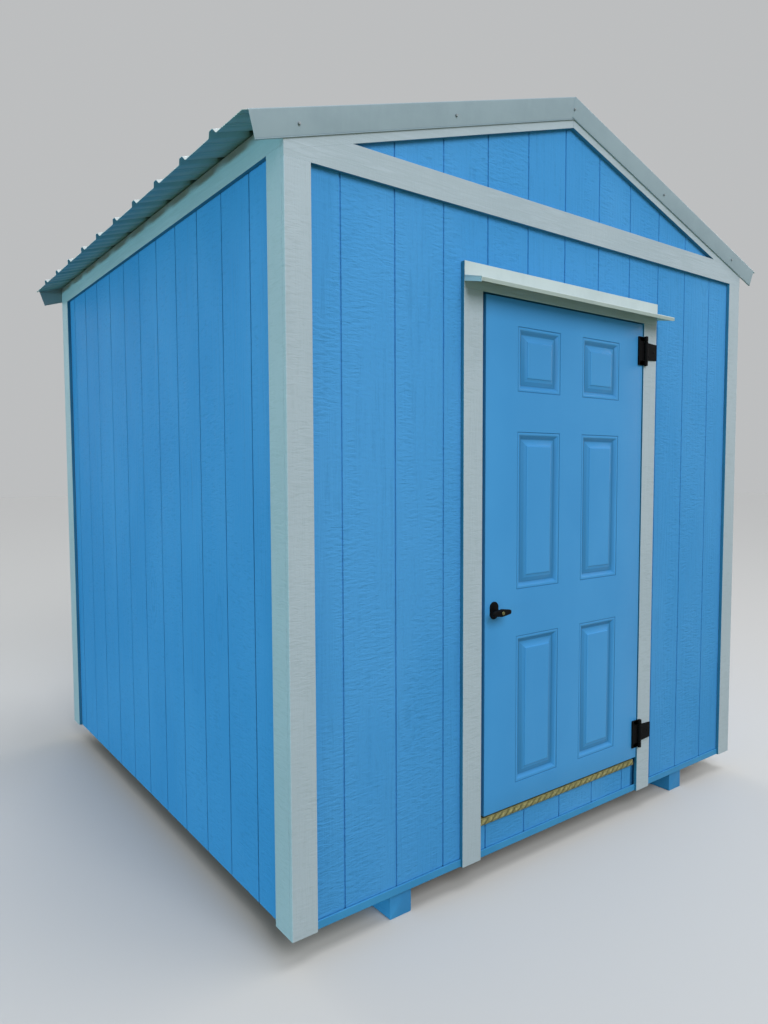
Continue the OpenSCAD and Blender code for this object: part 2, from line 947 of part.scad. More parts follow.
skids();
floor_joists();
floor_rims();
floor_deck();
side_wall_plates();
end_wall_plates();
side_wall_studs();
end_wall_studs();
door_header();
left_siding();
right_siding();
back_siding();
back_gable_siding();
front_siding_left();
front_siding_right();
front_siding_over_door();
front_siding_below_door();
front_gable_siding();
base_strips();
end_corner_boards();
side_corner_boards();
eave_fascias();
frieze_boards();
front_rake_boards();
back_rake_boards();
door_casings();
door_header_trim();
drip_cap();
threshold();
door_jambs();
door_stops();
rafters();
ridge_board();
roof_purlins();
roof_sheet_left();
roof_sheet_right();
ridge_cap();
front_rake_trim();
back_rake_trim();
door_slab();
hinge_door_leaves();
hinge_casing_leaves();
handle_roses();
t_handle();
key_cylinder();
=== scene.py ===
import json
from math import atan, cos, pi, radians, sin

import bpy
import numpy as np
from mathutils import Matrix, Vector

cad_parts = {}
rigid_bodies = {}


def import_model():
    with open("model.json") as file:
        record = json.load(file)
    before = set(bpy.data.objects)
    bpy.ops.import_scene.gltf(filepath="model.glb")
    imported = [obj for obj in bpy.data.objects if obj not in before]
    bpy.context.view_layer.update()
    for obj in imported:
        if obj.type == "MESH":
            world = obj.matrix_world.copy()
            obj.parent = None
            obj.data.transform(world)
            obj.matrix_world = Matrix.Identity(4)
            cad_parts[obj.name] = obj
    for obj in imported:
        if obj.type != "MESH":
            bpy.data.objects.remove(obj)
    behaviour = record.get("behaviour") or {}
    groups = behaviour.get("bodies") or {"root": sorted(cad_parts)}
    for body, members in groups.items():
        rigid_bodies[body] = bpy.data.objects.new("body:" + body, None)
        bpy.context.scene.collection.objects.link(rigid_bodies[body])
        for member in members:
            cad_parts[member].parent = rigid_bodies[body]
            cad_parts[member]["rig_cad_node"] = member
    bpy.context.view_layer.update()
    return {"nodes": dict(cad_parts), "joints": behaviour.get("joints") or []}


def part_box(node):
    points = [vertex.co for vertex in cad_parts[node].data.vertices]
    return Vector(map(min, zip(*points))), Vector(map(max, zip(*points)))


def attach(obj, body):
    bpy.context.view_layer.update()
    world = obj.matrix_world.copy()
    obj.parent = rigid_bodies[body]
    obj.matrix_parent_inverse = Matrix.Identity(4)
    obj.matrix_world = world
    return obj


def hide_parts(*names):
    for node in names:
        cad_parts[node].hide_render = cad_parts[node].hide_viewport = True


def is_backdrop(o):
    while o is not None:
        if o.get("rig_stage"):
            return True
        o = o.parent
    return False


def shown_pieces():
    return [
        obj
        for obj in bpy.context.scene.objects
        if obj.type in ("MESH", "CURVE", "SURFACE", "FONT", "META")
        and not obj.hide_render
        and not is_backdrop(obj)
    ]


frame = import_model()
nodes = frame["nodes"]
scene = bpy.context.scene
mm = 0.001
print("frame loaded:", len(nodes), "nodes")


# Shells: an array of points and a list of face arrays

shellLook = {
    "samePlace": 0.01 * mm,  # points this close belong to one solid
    "weld": 0.002 * mm,  # points this close become one
    "arc": 4,  # points on a rounded edge
    "widen": 1.3,  # a rounded edge's radius over the ease at a board's ends
    "flat": 0.2,  # flat beside a rounded edge, as a share of its radius
    "lattice": 256,  # cells of the noise table each way
    "sharp": 34,  # degrees past which an edge stays crisp
}


def cornersOf(node):
    # lowest and highest corner of a node, as two arrays
    low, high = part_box(node)
    return np.array(low), np.array(high)


def pointsOf(node):
    # every corner point of a node's mesh
    vertices = nodes[node].data.vertices
    points = np.empty(len(vertices) * 3)
    vertices.foreach_get("co", points)
    return points.reshape(-1, 3)


def solidsOf(node):
    # boxes of a node's solids: triangles that share a place pass on the lowest label until none changes
    mesh = nodes[node].data
    mesh.calc_loop_triangles()
    triangles = np.empty(len(mesh.loop_triangles) * 3, int)
    mesh.loop_triangles.foreach_get("vertices", triangles)
    points = pointsOf(node)
    cells = np.round(points / shellLook["samePlace"])
    place = np.unique(cells, axis=0, return_inverse=True)[1].ravel()
    triangles = place[triangles].reshape(-1, 3)
    label = np.arange(place.max() + 1)
    while True:
        lower = label.copy()
        np.minimum.at(lower, triangles, label[triangles].min(1)[:, None])
        if (lower == label).all():
            break
        label = lower
    owner = label[place]
    return [(points[owner == k].min(0), points[owner == k].max(0)) for k in np.unique(owner)]


def outward(points, faces):
    # signed volume by fans from each face's first corner; below zero, every face is turned round
    volume = 0.0
    for group in faces:
        corner = points[group]
        fan = np.cross(corner[:, 1:-1], corner[:, 2:])
        volume += (corner[:, :1] * fan).sum()
    if volume < 0:
        faces = [group[:, ::-1] for group in faces]
    return points, faces


def joined(shells):
    # several shells as one: each takes its place after the points of those before it
    counts = np.cumsum([0] + [len(points) for points, faces in shells])
    points = np.concatenate([points for points, faces in shells])
    faces = [group + count for (own, groups), count in zip(shells, counts) for group in groups]
    return points, faces


def welded(points, faces):
    # points that share a place become one
    cell = shellLook["weld"]
    kept, place = np.unique(np.round(points / cell), axis=0, return_inverse=True)
    return kept * cell, [place.ravel()[group] for group in faces]


def gridQuads(rows, columns, closed=False):
    # quads between neighbours of a rows by columns grid, closed round the columns if asked
    index = np.arange(rows * columns).reshape(rows, columns)
    right = np.roll(index, -1, 1) if closed else index[:, 1:]
    left = index if closed else index[:, :-1]
    return np.stack([left[:-1], right[:-1], right[1:], left[1:]], -1).reshape(-1, 4)


def rimOf(rows, columns):
    # a grid's outermost points in order, once round
    index = np.arange(rows * columns).reshape(rows, columns)
    return np.concatenate([index[0, :-1], index[:-1, -1], index[-1, :0:-1], index[:0:-1, 0]])


def gridded(x, y, z):
    # points from three arrays, each spread over the shape of the others
    return np.stack(np.broadcast_arrays(x, y, z), -1)


def byAxis(parts):
    # the same from arrays named by their axis: 0, 1 and 2
    return gridded(parts[0], parts[1], parts[2])


def carried(sections):
    # closed profile carried along its stations, one row each, with a flat cap at both ends
    rows, columns = sections.shape[:2]
    first = np.arange(columns)[None, ::-1]
    last = np.arange(columns)[None] + (rows - 1) * columns
    return outward(sections.reshape(-1, 3), [gridQuads(rows, columns, True), first, last])


def plated(front, back):
    # a surface grid and its offset copy, closed by strips round the rim
    rows, columns = front.shape[:2]
    rim = rimOf(rows, columns)
    following = np.roll(rim, -1)
    shift = rows * columns
    quads = gridQuads(rows, columns)
    strips = np.stack([following, rim, rim + shift, following + shift], 1)
    points = np.concatenate([front.reshape(-1, 3), back.reshape(-1, 3)])
    return outward(points, [quads, quads[:, ::-1] + shift, strips])


def board(low, high, edge, ease=None, between=()):
    # rounded rectangle carried along the longest side, drawn in over a quarter circle at both ends;
    # a narrow flat beside each rounded edge keeps the wide faces' shading flat
    low, high = np.array(low), np.array(high)
    along = int(np.argmax(high - low))
    across, up = [axis for axis in range(3) if axis != along]
    middle, half = (low + high) / 2, (high - low) / 2
    ease = edge / shellLook["widen"] if ease is None else ease
    radius = max(edge, shellLook["widen"] * ease)
    flat = shellLook["flat"] * radius
    turn = np.linspace(0, pi / 2, shellLook["arc"])
    setIn = np.append(ease * (1 - np.cos(turn)), ease + flat)
    stations = np.concatenate([low[along] + setIn, between, high[along] - setIn[::-1]])
    drawn = np.append(ease * (1 - np.sin(turn)), 0)
    reach = (radius - np.concatenate([drawn, np.zeros(len(between)), drawn[::-1]]))[:, None]
    quarter = np.repeat(np.arange(4), len(turn) + 2)
    angle = np.tile(np.concatenate([turn[:1], turn, turn[-1:]]), 4) + quarter * pi / 2
    slide = np.tile(np.concatenate([[-flat], 0 * turn, [flat]]), 4)
    sideA, sideB = np.array([1, -1, -1, 1])[quarter], np.array([1, 1, -1, -1])[quarter]
    placeA = middle[across] + sideA * (half[across] - radius)
    placeB = middle[up] + sideB * (half[up] - radius)
    return carried(byAxis({along: stations[:, None],
                           across: placeA + reach * np.cos(angle) - slide * np.sin(angle),
                           up: placeB + reach * np.sin(angle) + slide * np.cos(angle)}))


def turned(stations, count):
    # stations of (height, radius) swept round the Z axis
    height, radius = np.array(stations, float).T[..., None]
    angle = np.arange(count) * 2 * pi / count
    return carried(gridded(radius * np.cos(angle), radius * np.sin(angle), height))


def lathed(shape, height, radius, count):
    # turned shell whose stations are shares of a height and of a radius
    return turned(np.array(shape) * (height, radius), count)


def placedAt(shell, centres, axis):
    # copies of a shell made round +Z, turned to the axis and moved to each centre
    points, faces = shell
    turn = np.array(Vector((0, 0, 1)).rotation_difference(Vector(axis)).to_matrix())
    own = points @ turn.T
    return joined([(own + centre, faces) for centre in np.atleast_2d(centres)])


def softNoise(u, v, cellU, cellV, seed):
    # value noise: random heights on a lattice, blended between with smoothstep weights
    size = shellLook["lattice"]
    table = np.random.default_rng(seed).random((size, size))
    a, b = u / cellU, v / cellV
    i, j = np.floor(a).astype(int), np.floor(b).astype(int)
    s, t = a - i, b - j
    s, t = s * s * (3 - 2 * s), t * t * (3 - 2 * t)
    i, j, nextI, nextJ = i % size, j % size, (i + 1) % size, (j + 1) % size
    lower = table[i, j] * (1 - s) + table[nextI, j] * s
    upper = table[i, nextJ] * (1 - s) + table[nextI, nextJ] * s
    return lower * (1 - t) + upper * t


def facesOf(shell):
    # each face's middle and unit normal, from the cross products round its corners
    points, faces = shell
    middles = np.concatenate([points[group].mean(1) for group in faces])
    crosses = [np.cross(points[group], np.roll(points[group], -1, 1)).sum(1) for group in faces]
    normals = np.concatenate(crosses)
    return middles, normals / np.linalg.norm(normals, axis=1)[:, None]


def addPiece(name, shell, materials, body, replaced=(), faceMaterial=None, marks=None,
             sharp=shellLook["sharp"]):
    # mesh from whole arrays, edges sharper than the angle kept crisp, riding on its body
    points, faces = shell
    loops = np.concatenate([group.ravel() for group in faces]).astype(np.int32)
    sizes = np.concatenate([np.full(len(group), group.shape[1]) for group in faces])
    starts = np.concatenate([[0], np.cumsum(sizes)[:-1]]).astype(np.int32)
    mesh = bpy.data.meshes.new(name)
    mesh.vertices.add(len(points))
    mesh.vertices.foreach_set("co", points.astype(np.float32).ravel())
    mesh.loops.add(len(loops))
    mesh.loops.foreach_set("vertex_index", loops)
    mesh.polygons.add(len(starts))
    mesh.polygons.foreach_set("loop_start", starts)
    for material in materials:
        mesh.materials.append(material)
    if faceMaterial is not None:
        mesh.polygons.foreach_set("material_index", np.asarray(faceMaterial, np.int32))
    for mark, values in (marks or {}).items():
        domain = "POINT" if len(values) == len(points) else "FACE"
        attribute = mesh.attributes.new(mark, "FLOAT", domain)
        attribute.data.foreach_set("value", np.asarray(values, np.float32))
    mesh.update(calc_edges=True)
    mesh.shade_smooth()
    mesh.set_sharp_from_angle(angle=radians(sharp))
    piece = bpy.data.objects.new(name, mesh)
    scene.collection.objects.link(piece)
    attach(piece, body)
    if replaced:
        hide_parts(*replaced)


# Camera: where the photograph was taken from, in the frame's own metres

cameraLook = {
    "place": (-2.2651, -3.04575, 1.4829),
    "azimuth": 37.071,  # degrees, turned right from +Y
    "elevation": -3.463, "roll": -0.184, "focalPixels": 735.04, "frameHeight": 1024, "sensor": 36.0,
    "centreOff": (5.82, 3.59),  # pixels from the frame's middle to the lens axis, right and down
    "clipEnd": 300,
}


def addCamera(look):
    # forward from azimuth and elevation, right level with the ground, both turned by the roll
    a, e, r = (radians(look[key]) for key in ("azimuth", "elevation", "roll"))
    forward = Vector((sin(a) * cos(e), cos(a) * cos(e), sin(e)))
    level = Vector((cos(a), -sin(a), 0))
    upright = level.cross(forward)
    right = cos(r) * level + sin(r) * upright
    up = right.cross(forward)
    data = bpy.data.cameras.new("photoCamera")
    data.sensor_width = look["sensor"]
    data.lens = look["focalPixels"] * look["sensor"] / look["frameHeight"]
    data.shift_x = -look["centreOff"][0] / look["frameHeight"]
    data.shift_y = look["centreOff"][1] / look["frameHeight"]
    data.clip_end = look["clipEnd"]
    camera = bpy.data.objects.new("photoCamera", data)
    facing = Matrix((right, up, -forward)).transposed().to_4x4()
    camera.matrix_world = Matrix.Translation(look["place"]) @ facing
    scene.collection.objects.link(camera)
    scene.camera = camera


addCamera(cameraLook)
print("camera set")


# Finishes: procedural materials on Object coordinates

def put(tree, socket, value):
    # links a socket, or sets a value; a colour of three gets a fourth of 1
    if isinstance(value, bpy.types.NodeSocket):
        tree.links.new(value, socket)
    else:
        socket.default_value = (*value, 1) if socket.type == "RGBA" else value


def addNode(tree, kind, inputs=None, **settings):
    # a new node with its settings and inputs
    made = tree.nodes.new(kind)
    for setting, value in settings.items():
        setattr(made, setting, value)
    for socket, value in (inputs or {}).items():
        put(tree, made.inputs[socket], value)
    return made


class Finish:
    # one material made by its look; each method adds a node and gives back its output socket
    # in a look, a noise is its cells per metre, detail, roughness and twist; a grain has cells across and
    # along the board; a step is two limits and the values there, 0 and 1 if not given; a relief is depth and
    # strength
    mixFirst, mixSecond, mixResult = 6, 7, 2  # a Mix node's sockets for colours

    def __init__(self, name, look, axis=None):
        # a Principled shader with the look's own settings
        self.look, self.axis = look, axis
        self.material = bpy.data.materials.new(name)
        self.material.use_nodes = True
        self.tree = self.material.node_tree
        self.shader = self.tree.nodes["Principled BSDF"]
        for socket, value in look.get("shader", {}).items():
            self.shade(socket, value)
        self.place = self.node("ShaderNodeTexCoord").outputs["Object"]

    def given(self, value):
        # a value of the look by its name, or the value itself
        return self.look[value] if isinstance(value, str) else value

    def shade(self, socket, value):
        # links or sets one of the shader's own inputs
        put(self.tree, self.shader.inputs[socket], value)

    def node(self, kind, inputs=None, **settings):
        # a new node in this material
        return addNode(self.tree, kind, inputs, **settings)

    def stretched(self, scale):
        # Object coordinates times the scale, one number or one for each axis
        scale = scale if isinstance(scale, tuple) else (scale,) * 3
        return self.node("ShaderNodeMapping", {"Vector": self.place, "Scale": scale}).outputs[0]

    def noise(self, noise):
        # fractal noise from 0 to 1
        scale, detail, rough, twist = (*self.given(noise), 0.0)[:4]
        values = {"Vector": self.stretched(scale), "Scale": 1.0, "Detail": detail, "Roughness": rough,
                  "Distortion": twist}
        return self.node("ShaderNodeTexNoise", values).outputs[0]

    def grained(self, grain):
        # noise with its own number of cells along the finish's axis
        across, along, *rest = self.given(grain)
        return self.noise((tuple(along if self.axis == own else across for own in "XYZ"), *rest))

    def cells(self, scale):
        # scattered points: distance to the nearest one, and its own random colour
        values = {"Vector": self.stretched(self.given(scale)), "Scale": 1.0}
        return self.node("ShaderNodeTexVoronoi", values).outputs

    def fit(self, value, step):
        # smooth step of a value between two limits, onto a new range
        low, high, outLow, outHigh = (*self.given(step), 0.0, 1.0)[:4]
        values = {"Value": value, "From Min": low, "From Max": high, "To Min": outLow, "To Max": outHigh}
        return self.node("ShaderNodeMapRange", values, interpolation_type="SMOOTHSTEP").outputs[0]

    def stepped(self, name):
        # smooth step of a noise
        noise, step = self.look[name]
        return self.fit(self.noise(noise), step)

    def math(self, operation, a, b=0.0):
        # one sum of two values, by its name
        return self.node("ShaderNodeMath", {0: a, 1: self.given(b)}, operation=operation).outputs[0]

    def layered(self, *layers):
        # each value times its share, added up
        parts = [self.math("MULTIPLY", value, share) for value, share in layers]
        total = parts[0]
        for part in parts[1:]:
            total = self.math("ADD", total, part)
        return total

    def waves(self, value, rate):
        # sine of the value times the rate
        return self.math("SINE", self.math("MULTIPLY", value, rate))

    def rings(self, value, rate):
        # the same, brought from -1..1 to 0..1
        return self.math("ADD", self.math("MULTIPLY", self.waves(value, rate), 0.5), 0.5)

    def tint(self, share, a, b):
        # colour a where the share is 0, colour b where it is 1
        values = {0: share, self.mixFirst: self.given(a), self.mixSecond: self.given(b)}
        return self.node("ShaderNodeMix", values, data_type="RGBA").outputs[self.mixResult]

    def mark(self, name):
        # the piece's own attribute of that name
        return self.node("ShaderNodeAttribute", attribute_name=name).outputs["Fac"]

    def bump(self, height, relief, under=None):
        # height from 0 to 1 read as depth metres, over a normal if one is given
        depth, strength = self.given(relief)
        values = {"Height": height, "Distance": depth, "Strength": strength}
        if under is not None:
            values["Normal"] = under
        return self.node("ShaderNodeBump", values).outputs[0]

    def wear(self, colour, roughBy, height=None, under=None):
        # colour, roughness stepped from a value and height bumped by the relief go into the shader
        self.shade("Base Color", colour)
        self.shade("Roughness", self.fit(roughBy, "rough"))
        if height is not None:
            self.shade("Normal", self.bump(height, "relief", under))
        return self.material


sidingPaintLook = {
    "shader": {"Specular IOR Level": 0.01},
    # groove is the colour of the painted shade in the grooves and in the grain's hollows
    "blue": (0.073, 0.306, 0.668), "deep": (0.058, 0.279, 0.629), "groove": (0.006, 0.080, 0.195),
    "ripples": ((27, 27, 104), 3, 0.56, 0.5), "streaks": ((90, 90, 3.0), 4, 0.6, 0.5),
    "pores": ((420, 420, 300), 3, 0.6),
    "patches": (((7.5, 7.5, 1.4), 2, 0.5, 0.6), (0.47, 0.58)),
    "clouds": (((1.6, 1.6, 0.9), 3, 0.55), (0.35, 0.68)),
    "breaks": (((60, 60, 9), 4, 0.6), (0.35, 0.65, 0.62, 1.0)),  # where the painted shade in the grooves thins
    "rippleShare": (0, 1, 0.62, 0.22),  # outside and inside the patches
    "streakShare": (0, 1, 0.22, 0.62), "poreShare": 0.10, "knots": (3.4, 3.4, 1.2),
    "ringRate": 110.0,
    "ringShare": (0.04, 0.26, 0.16, 0.0),  # by the distance from a knot
    # valleys: how much painted shade lies in the grain's hollows
    "valleys": (0.34, 0.46, 0.11, 0.0), "rough": (0.3, 0.7, 0.46, 0.60), "relief": (5.0 * mm, 1.0),
}


def sidingPaint(look):
    # satin paint over pressed grain: level saw ripples, patches of upright streaks and a few ringed knots;
    # painted shade in the grain's hollows and in the grooves
    f = Finish("sidingPaint", look)
    streaks, patches, knots = f.noise("streaks"), f.stepped("patches"), f.cells("knots")[0]
    height = f.layered((f.noise("ripples"), f.fit(patches, "rippleShare")),
                       (streaks, f.fit(patches, "streakShare")),
                       (f.waves(knots, "ringRate"), f.fit(knots, "ringShare")),
                       (f.noise("pores"), "poreShare"))
    colour = f.tint(f.stepped("clouds"), "deep", "blue")
    # painted shade in the grain's hollows: darker where the pressed height is low
    colour = f.tint(f.fit(height, "valleys"), colour, "groove")
    # painted shade in the grooves, from the sheet's grooveShade mark, broken up by noise
    dark = f.math("MULTIPLY", f.mark("grooveShade"), f.stepped("breaks"))
    return f.wear(f.tint(dark, colour, "groove"), streaks, height)


boardPaintLook = {
    "shader": {"Specular IOR Level": 0.20},
    # valley is the colour of the painted shade in the grain's hollows
    "pale": (0.396, 0.470, 0.548), "shade": (0.368, 0.443, 0.519), "valley": (0.20, 0.27, 0.29),
    "streaks": (85, 6.0, 4, 0.6, 0.8), "ripples": (22, 105, 3, 0.55, 0.8),
    "patches": (7, 2.5, 2, 0.5, 0.5), "patchStep": (0.42, 0.58),
    "clouds": (((2.1, 2.1, 1.3), 3, 0.6), (0.35, 0.68)),
    "streakShare": (0, 1, 0.40, 0.66), "rippleShare": (0, 1, 0.16, 0.04),
    # valleys: how much painted shade lies in the grain's hollows
    "valleys": (0.28, 0.37, 0.12, 0.0), "rough": (0.3, 0.7, 0.48, 0.62), "relief": (2.4 * mm, 1.0),
}
uprightBoardLook = {**boardPaintLook, "streakShare": (0, 1, 0.16, 0.42), "rippleShare": (0, 1, 0.56, 0.34)}


def boardPaint(axis, look):
    # pale paint on grained board: streaks along the board and short ripples across it; painted shade in the
    # grain's hollows
    f = Finish("boardPaint" + axis, look, axis)
    streaks, patches = f.grained("streaks"), f.fit(f.grained("patches"), "patchStep")
    height = f.layered((streaks, f.fit(patches, "streakShare")),
                       (f.grained("ripples"), f.fit(patches, "rippleShare")))
    colour = f.tint(f.stepped("clouds"), "shade", "pale")
    # painted shade in the grain's hollows, darker where the grain's height is low
    return f.wear(f.tint(f.fit(height, "valleys"), colour, "valley"), streaks, height)


bluePaintLook = {
    "shader": {"Specular IOR Level": 0.25},
    "brush": (150, 3.5, 4, 0.55, 0.4), "clouds": ((4.0, 3, 0.6), (0.35, 0.65)),
    "brushDark": (0.30, 0.50, 0.25, 0.0), "rough": (0.3, 0.7, 0.42, 0.60),
    "relief": (0.5 * mm, 0.6),
}
blueTones = {
    # brush direction, pale and deep tone
    "base": ("X", (0.046, 0.268, 0.545), (0.036, 0.235, 0.500)),
    "skid": ("Y", (0.050, 0.300, 0.650), (0.034, 0.225, 0.520)),
    "jamb": ("Z", (0.040, 0.250, 0.520), (0.028, 0.195, 0.430)),
    # edge: the wall's blue, darkened as painted shade on the trim's narrow edges
    "edge": ("Z", (0.036, 0.195, 0.330), (0.028, 0.160, 0.275)),
}


def bluePaint(part, axis, pale, deep):
    # blue paint brushed along a plain board
    f = Finish(part + "Paint", bluePaintLook, axis)
    brush = f.grained("brush")
    colour = f.tint(f.stepped("clouds"), deep, pale)
    return f.wear(f.tint(f.fit(brush, "brushDark"), colour, deep), brush, brush)


doorPaintLook = {
    "shader": {"Specular IOR Level": 0.25},
    # scuff is the colour of the real scuffs and also of the painted shade in the mouldings
    "blue": (0.056, 0.290, 0.642), "deep": (0.047, 0.268, 0.611), "scuff": (0.018, 0.150, 0.340),
    "upright": ((110, 110, 5.0), 4, 0.6, 1.2), "level": ((7.0, 110, 110), 4, 0.6, 1.6),
    "dimples": (420, 2, 0.5), "dimpleShare": 0.25,
    "clouds": (((2.4, 2.4, 1.5), 3, 0.55), (0.35, 0.68)),
    "scuffs": (((17, 17, 11), 6, 0.7), (0.66, 0.78, 0.0, 0.35)),
    "rough": (0.3, 0.7, 0.36, 0.48), "relief": (0.35 * mm, 0.55),
}


def doorPaint(look):
    # satin paint on a pressed skin: faint wood figure, level on the rails and upright elsewhere; painted shade
    # in the mouldings
    f = Finish("doorPaint", look)
    rail = f.mark("railShare")
    figure = f.layered((f.noise("upright"), f.math("SUBTRACT", 1.0, rail)), (f.noise("level"), rail))
    height = f.math("ADD", figure, f.math("MULTIPLY", f.noise("dimples"), "dimpleShare"))
    colour = f.tint(f.stepped("clouds"), "deep", "blue")
    colour = f.tint(f.stepped("scuffs"), colour, "scuff")
    # painted shade in the mouldings' creases and on the bevels
    dark = f.math("MAXIMUM", f.mark("creaseShade"), f.mark("bevelShade"))
    return f.wear(f.tint(dark, colour, "scuff"), figure, height)


sheetLook = {
    "shader": {"Specular IOR Level": 0.35},
    # the first colour is the painted shade in the rib mouths over the wall
    "soot": (0.004, 0.006, 0.006), "dust": (7, 5, 0.65), "dustShare": 0.8,
    "streaks": ((60, 60, 4.0), 3, 0.5), "streakShare": 0.2, "toneStep": (0.36, 0.62),
    "swell": (5.5, 1, 0.4), "swellRelief": (3.0 * mm, 0.35), "grit": (900, 1, 0.5),
    "rough": (0.3, 0.7, 0.30, 0.46), "relief": (0.05 * mm, 0.5),
}
sheetTones = {
    # pale and dusty tone, and a mark for painted shade in the rib mouths
    "rakeSheet": ((0.262, 0.344, 0.406), (0.244, 0.322, 0.384)),
    "dripSheet": ((0.500, 0.585, 0.610), (0.460, 0.545, 0.570)),
    "roofSheet": ((0.555, 0.607, 0.632), (0.490, 0.547, 0.576)),
    # the underside's darker teal tone is painted shade and a painted reflection of the blue walls
    "roofUnderside": ((0.200, 0.388, 0.452), (0.190, 0.369, 0.430), "overWall"),
}


def coatedSheet(name, pale, shade, soot=None):
    # coated steel: rain streaks and dust over a smooth skin that is never quite flat; a mark, if given, adds
    # painted shade
    f = Finish(name, sheetLook)
    dust = f.noise("dust")
    tone = f.layered((dust, "dustShare"), (f.noise("streaks"), "streakShare"))
    colour = f.tint(f.fit(tone, "toneStep"), shade, pale)
    if soot:
        # painted shade
        colour = f.tint(f.mark(soot), colour, "soot")
    return f.wear(colour, dust, f.noise("grit"), f.bump(f.noise("swell"), "swellRelief"))


brassLook = {
    "shader": {"Metallic": 0.55},
    "bright": (0.46, 0.430, 0.185), "dull": (0.075, 0.072, 0.022),
    "tarnish": ((95, 5, 0.7), (0.40, 0.62)), "brightShare": (0, 1, 0.45, 1.0),
    "pits": (500, 3, 0.6), "rough": (0, 1, 0.52, 0.34), "relief": (0.2 * mm, 0.6),
}


def brassPlate(look):
    # worn brass-coloured plate: bright on the raised strands, dull between them
    f = Finish("brassPlate", look)
    tarnish = f.stepped("tarnish")
    share = f.math("MULTIPLY", f.mark("strandShare"), f.fit(tarnish, "brightShare"))
    return f.wear(f.tint(share, "dull", "bright"), tarnish, f.noise("pits"))


keyLook = {
    "shader": {"Metallic": 0.9},
    "dull": (0.13, 0.125, 0.050), "bright": (0.22, 0.21, 0.095), "toolMarks": (900, 2, 0.5),
    "toneStep": (0.3, 0.7), "rough": (0.3, 0.7, 0.26, 0.40), "relief": (0.05 * mm, 0.6),
}


def keyBrass(look):
    # turned brass with fine tool marks
    f = Finish("keyBrass", look)
    toolMarks = f.noise("toolMarks")
    return f.wear(f.tint(f.fit(toolMarks, "toneStep"), "dull", "bright"), toolMarks, toolMarks)


speckLook = {
    "blackMetal": {  # black coating with a fine pebble, rubbed paler in places
        "shader": {"Specular IOR Level": 0.06},
        "specks": ((45, 5, 0.7), (0.55, 0.75)), "dark": (0.0025, 0.0025, 0.003),
        "pale": (0.008, 0.008, 0.009), "pebble": (650, 3, 0.6), "rough": (0, 1, 0.60, 0.46),
        "relief": (0.12 * mm, 0.7),
    },
    "screwSteel": {  # zinc with grey bloom
        "shader": {"Metallic": 0.6},
        "specks": ((380, 3, 0.6), (0.35, 0.65)), "dark": (0.20, 0.23, 0.25),
        "pale": (0.42, 0.46, 0.48), "rough": (0, 1, 0.36, 0.55),
    },
    "rubberWasher": {  # grey-black rubber with dust
        "specks": ((300, 3, 0.6), (0.45, 0.7)), "dark": (0.025, 0.026, 0.028),
        "pale": (0.09, 0.09, 0.09), "rough": (0, 1, 0.65, 0.85),
    },
}


def specked(name, look):
    # one noise moves colour and roughness between two ends; a pebble, if any, is bumped
    f = Finish(name, look)
    share = f.stepped("specks")
    return f.wear(f.tint(share, "dark", "pale"), share, f.noise("pebble") if "pebble" in look else None)


lumberLook = {
    "early": (0.60, 0.42, 0.225), "late": (0.36, 0.215, 0.095), "knot": (0.17, 0.09, 0.04),
    "grain": (48, 1.6, 4, 0.55, 1.4), "ringRate": 38.0, "ringShare": 0.55, "ringHeight": 0.3,
    "fibre": (420, 14, 3, 0.6), "fibreDark": (0.35, 0.65, 0.0, 0.25), "fibreHeight": 0.6,
    "knots": {"X": (2.2, 7.0, 7.0), "Y": (7.0, 2.2, 7.0), "Z": (7.0, 7.0, 2.2)},
    "knotDark": (0.05, 0.13, 0.85, 0.0), "rough": (0.3, 0.7, 0.62, 0.78), "relief": (0.4 * mm, 0.7),
}


def lumber(axis, look):
    # sawn pine: growth rings bent along the grain, knots and saw marks
    f = Finish("lumber" + axis, look, axis)
    fibre, rings = f.grained("fibre"), f.rings(f.grained("grain"), "ringRate")
    colour = f.tint(f.math("MULTIPLY", rings, "ringShare"), "early", "late")
    colour = f.tint(f.fit(fibre, "fibreDark"), colour, "late")
    colour = f.tint(f.fit(f.cells(look["knots"][axis])[0], "knotDark"), colour, "knot")
    return f.wear(colour, fibre, f.layered((fibre, "fibreHeight"), (rings, "ringHeight")))


strandLook = {
    "brown": (0.30, 0.185, 0.085), "pale": (0.56, 0.40, 0.215), "dark": (0.24, 0.14, 0.06),
    "strands": (34, 34, 13), "fibre": ((300, 300, 60), 3, 0.6, 0.8),
    "fibreDark": (0.35, 0.65, 0.0, 0.45), "rough": (0.3, 0.7, 0.65, 0.8), "relief": (0.5 * mm, 0.6),
}


def strandBoard(look):
    # pressed wood strands: patches of several browns with fine fibres
    f = Finish("strandBoard", look)
    fibre = f.noise("fibre")
    shade = f.node("ShaderNodeSeparateColor", {"Color": f.cells("strands")[1]}).outputs[0]
    colour = f.tint(f.fit(fibre, "fibreDark"), f.tint(shade, "brown", "pale"), "dark")
    return f.wear(colour, fibre, f.math("ADD", shade, fibre))


deckLook = {
    "early": (0.56, 0.405, 0.225), "late": (0.40, 0.255, 0.12), "scuff": (0.22, 0.17, 0.12),
    "figure": ((3.2, 22, 22), 4, 0.6, 2.4), "ringRate": 30.0, "ringShare": 0.5,
    "fibre": ((18, 380, 380), 3, 0.6),
    "scuffs": ((9, 6, 0.7), (0.52, 0.72, 0.0, 0.4)),
    "rough": (0.3, 0.7, 0.6, 0.78), "relief": (0.35 * mm, 0.6),
}


def deckPly(look):
    # plywood face: wide rotary figure along the sheet, scuffed
    f = Finish("deckPly", look)
    rings, fibre = f.rings(f.noise("figure"), "ringRate"), f.noise("fibre")
    colour = f.tint(f.math("MULTIPLY", rings, "ringShare"), "early", "late")
    return f.wear(f.tint(f.stepped("scuffs"), colour, "scuff"), fibre, fibre)


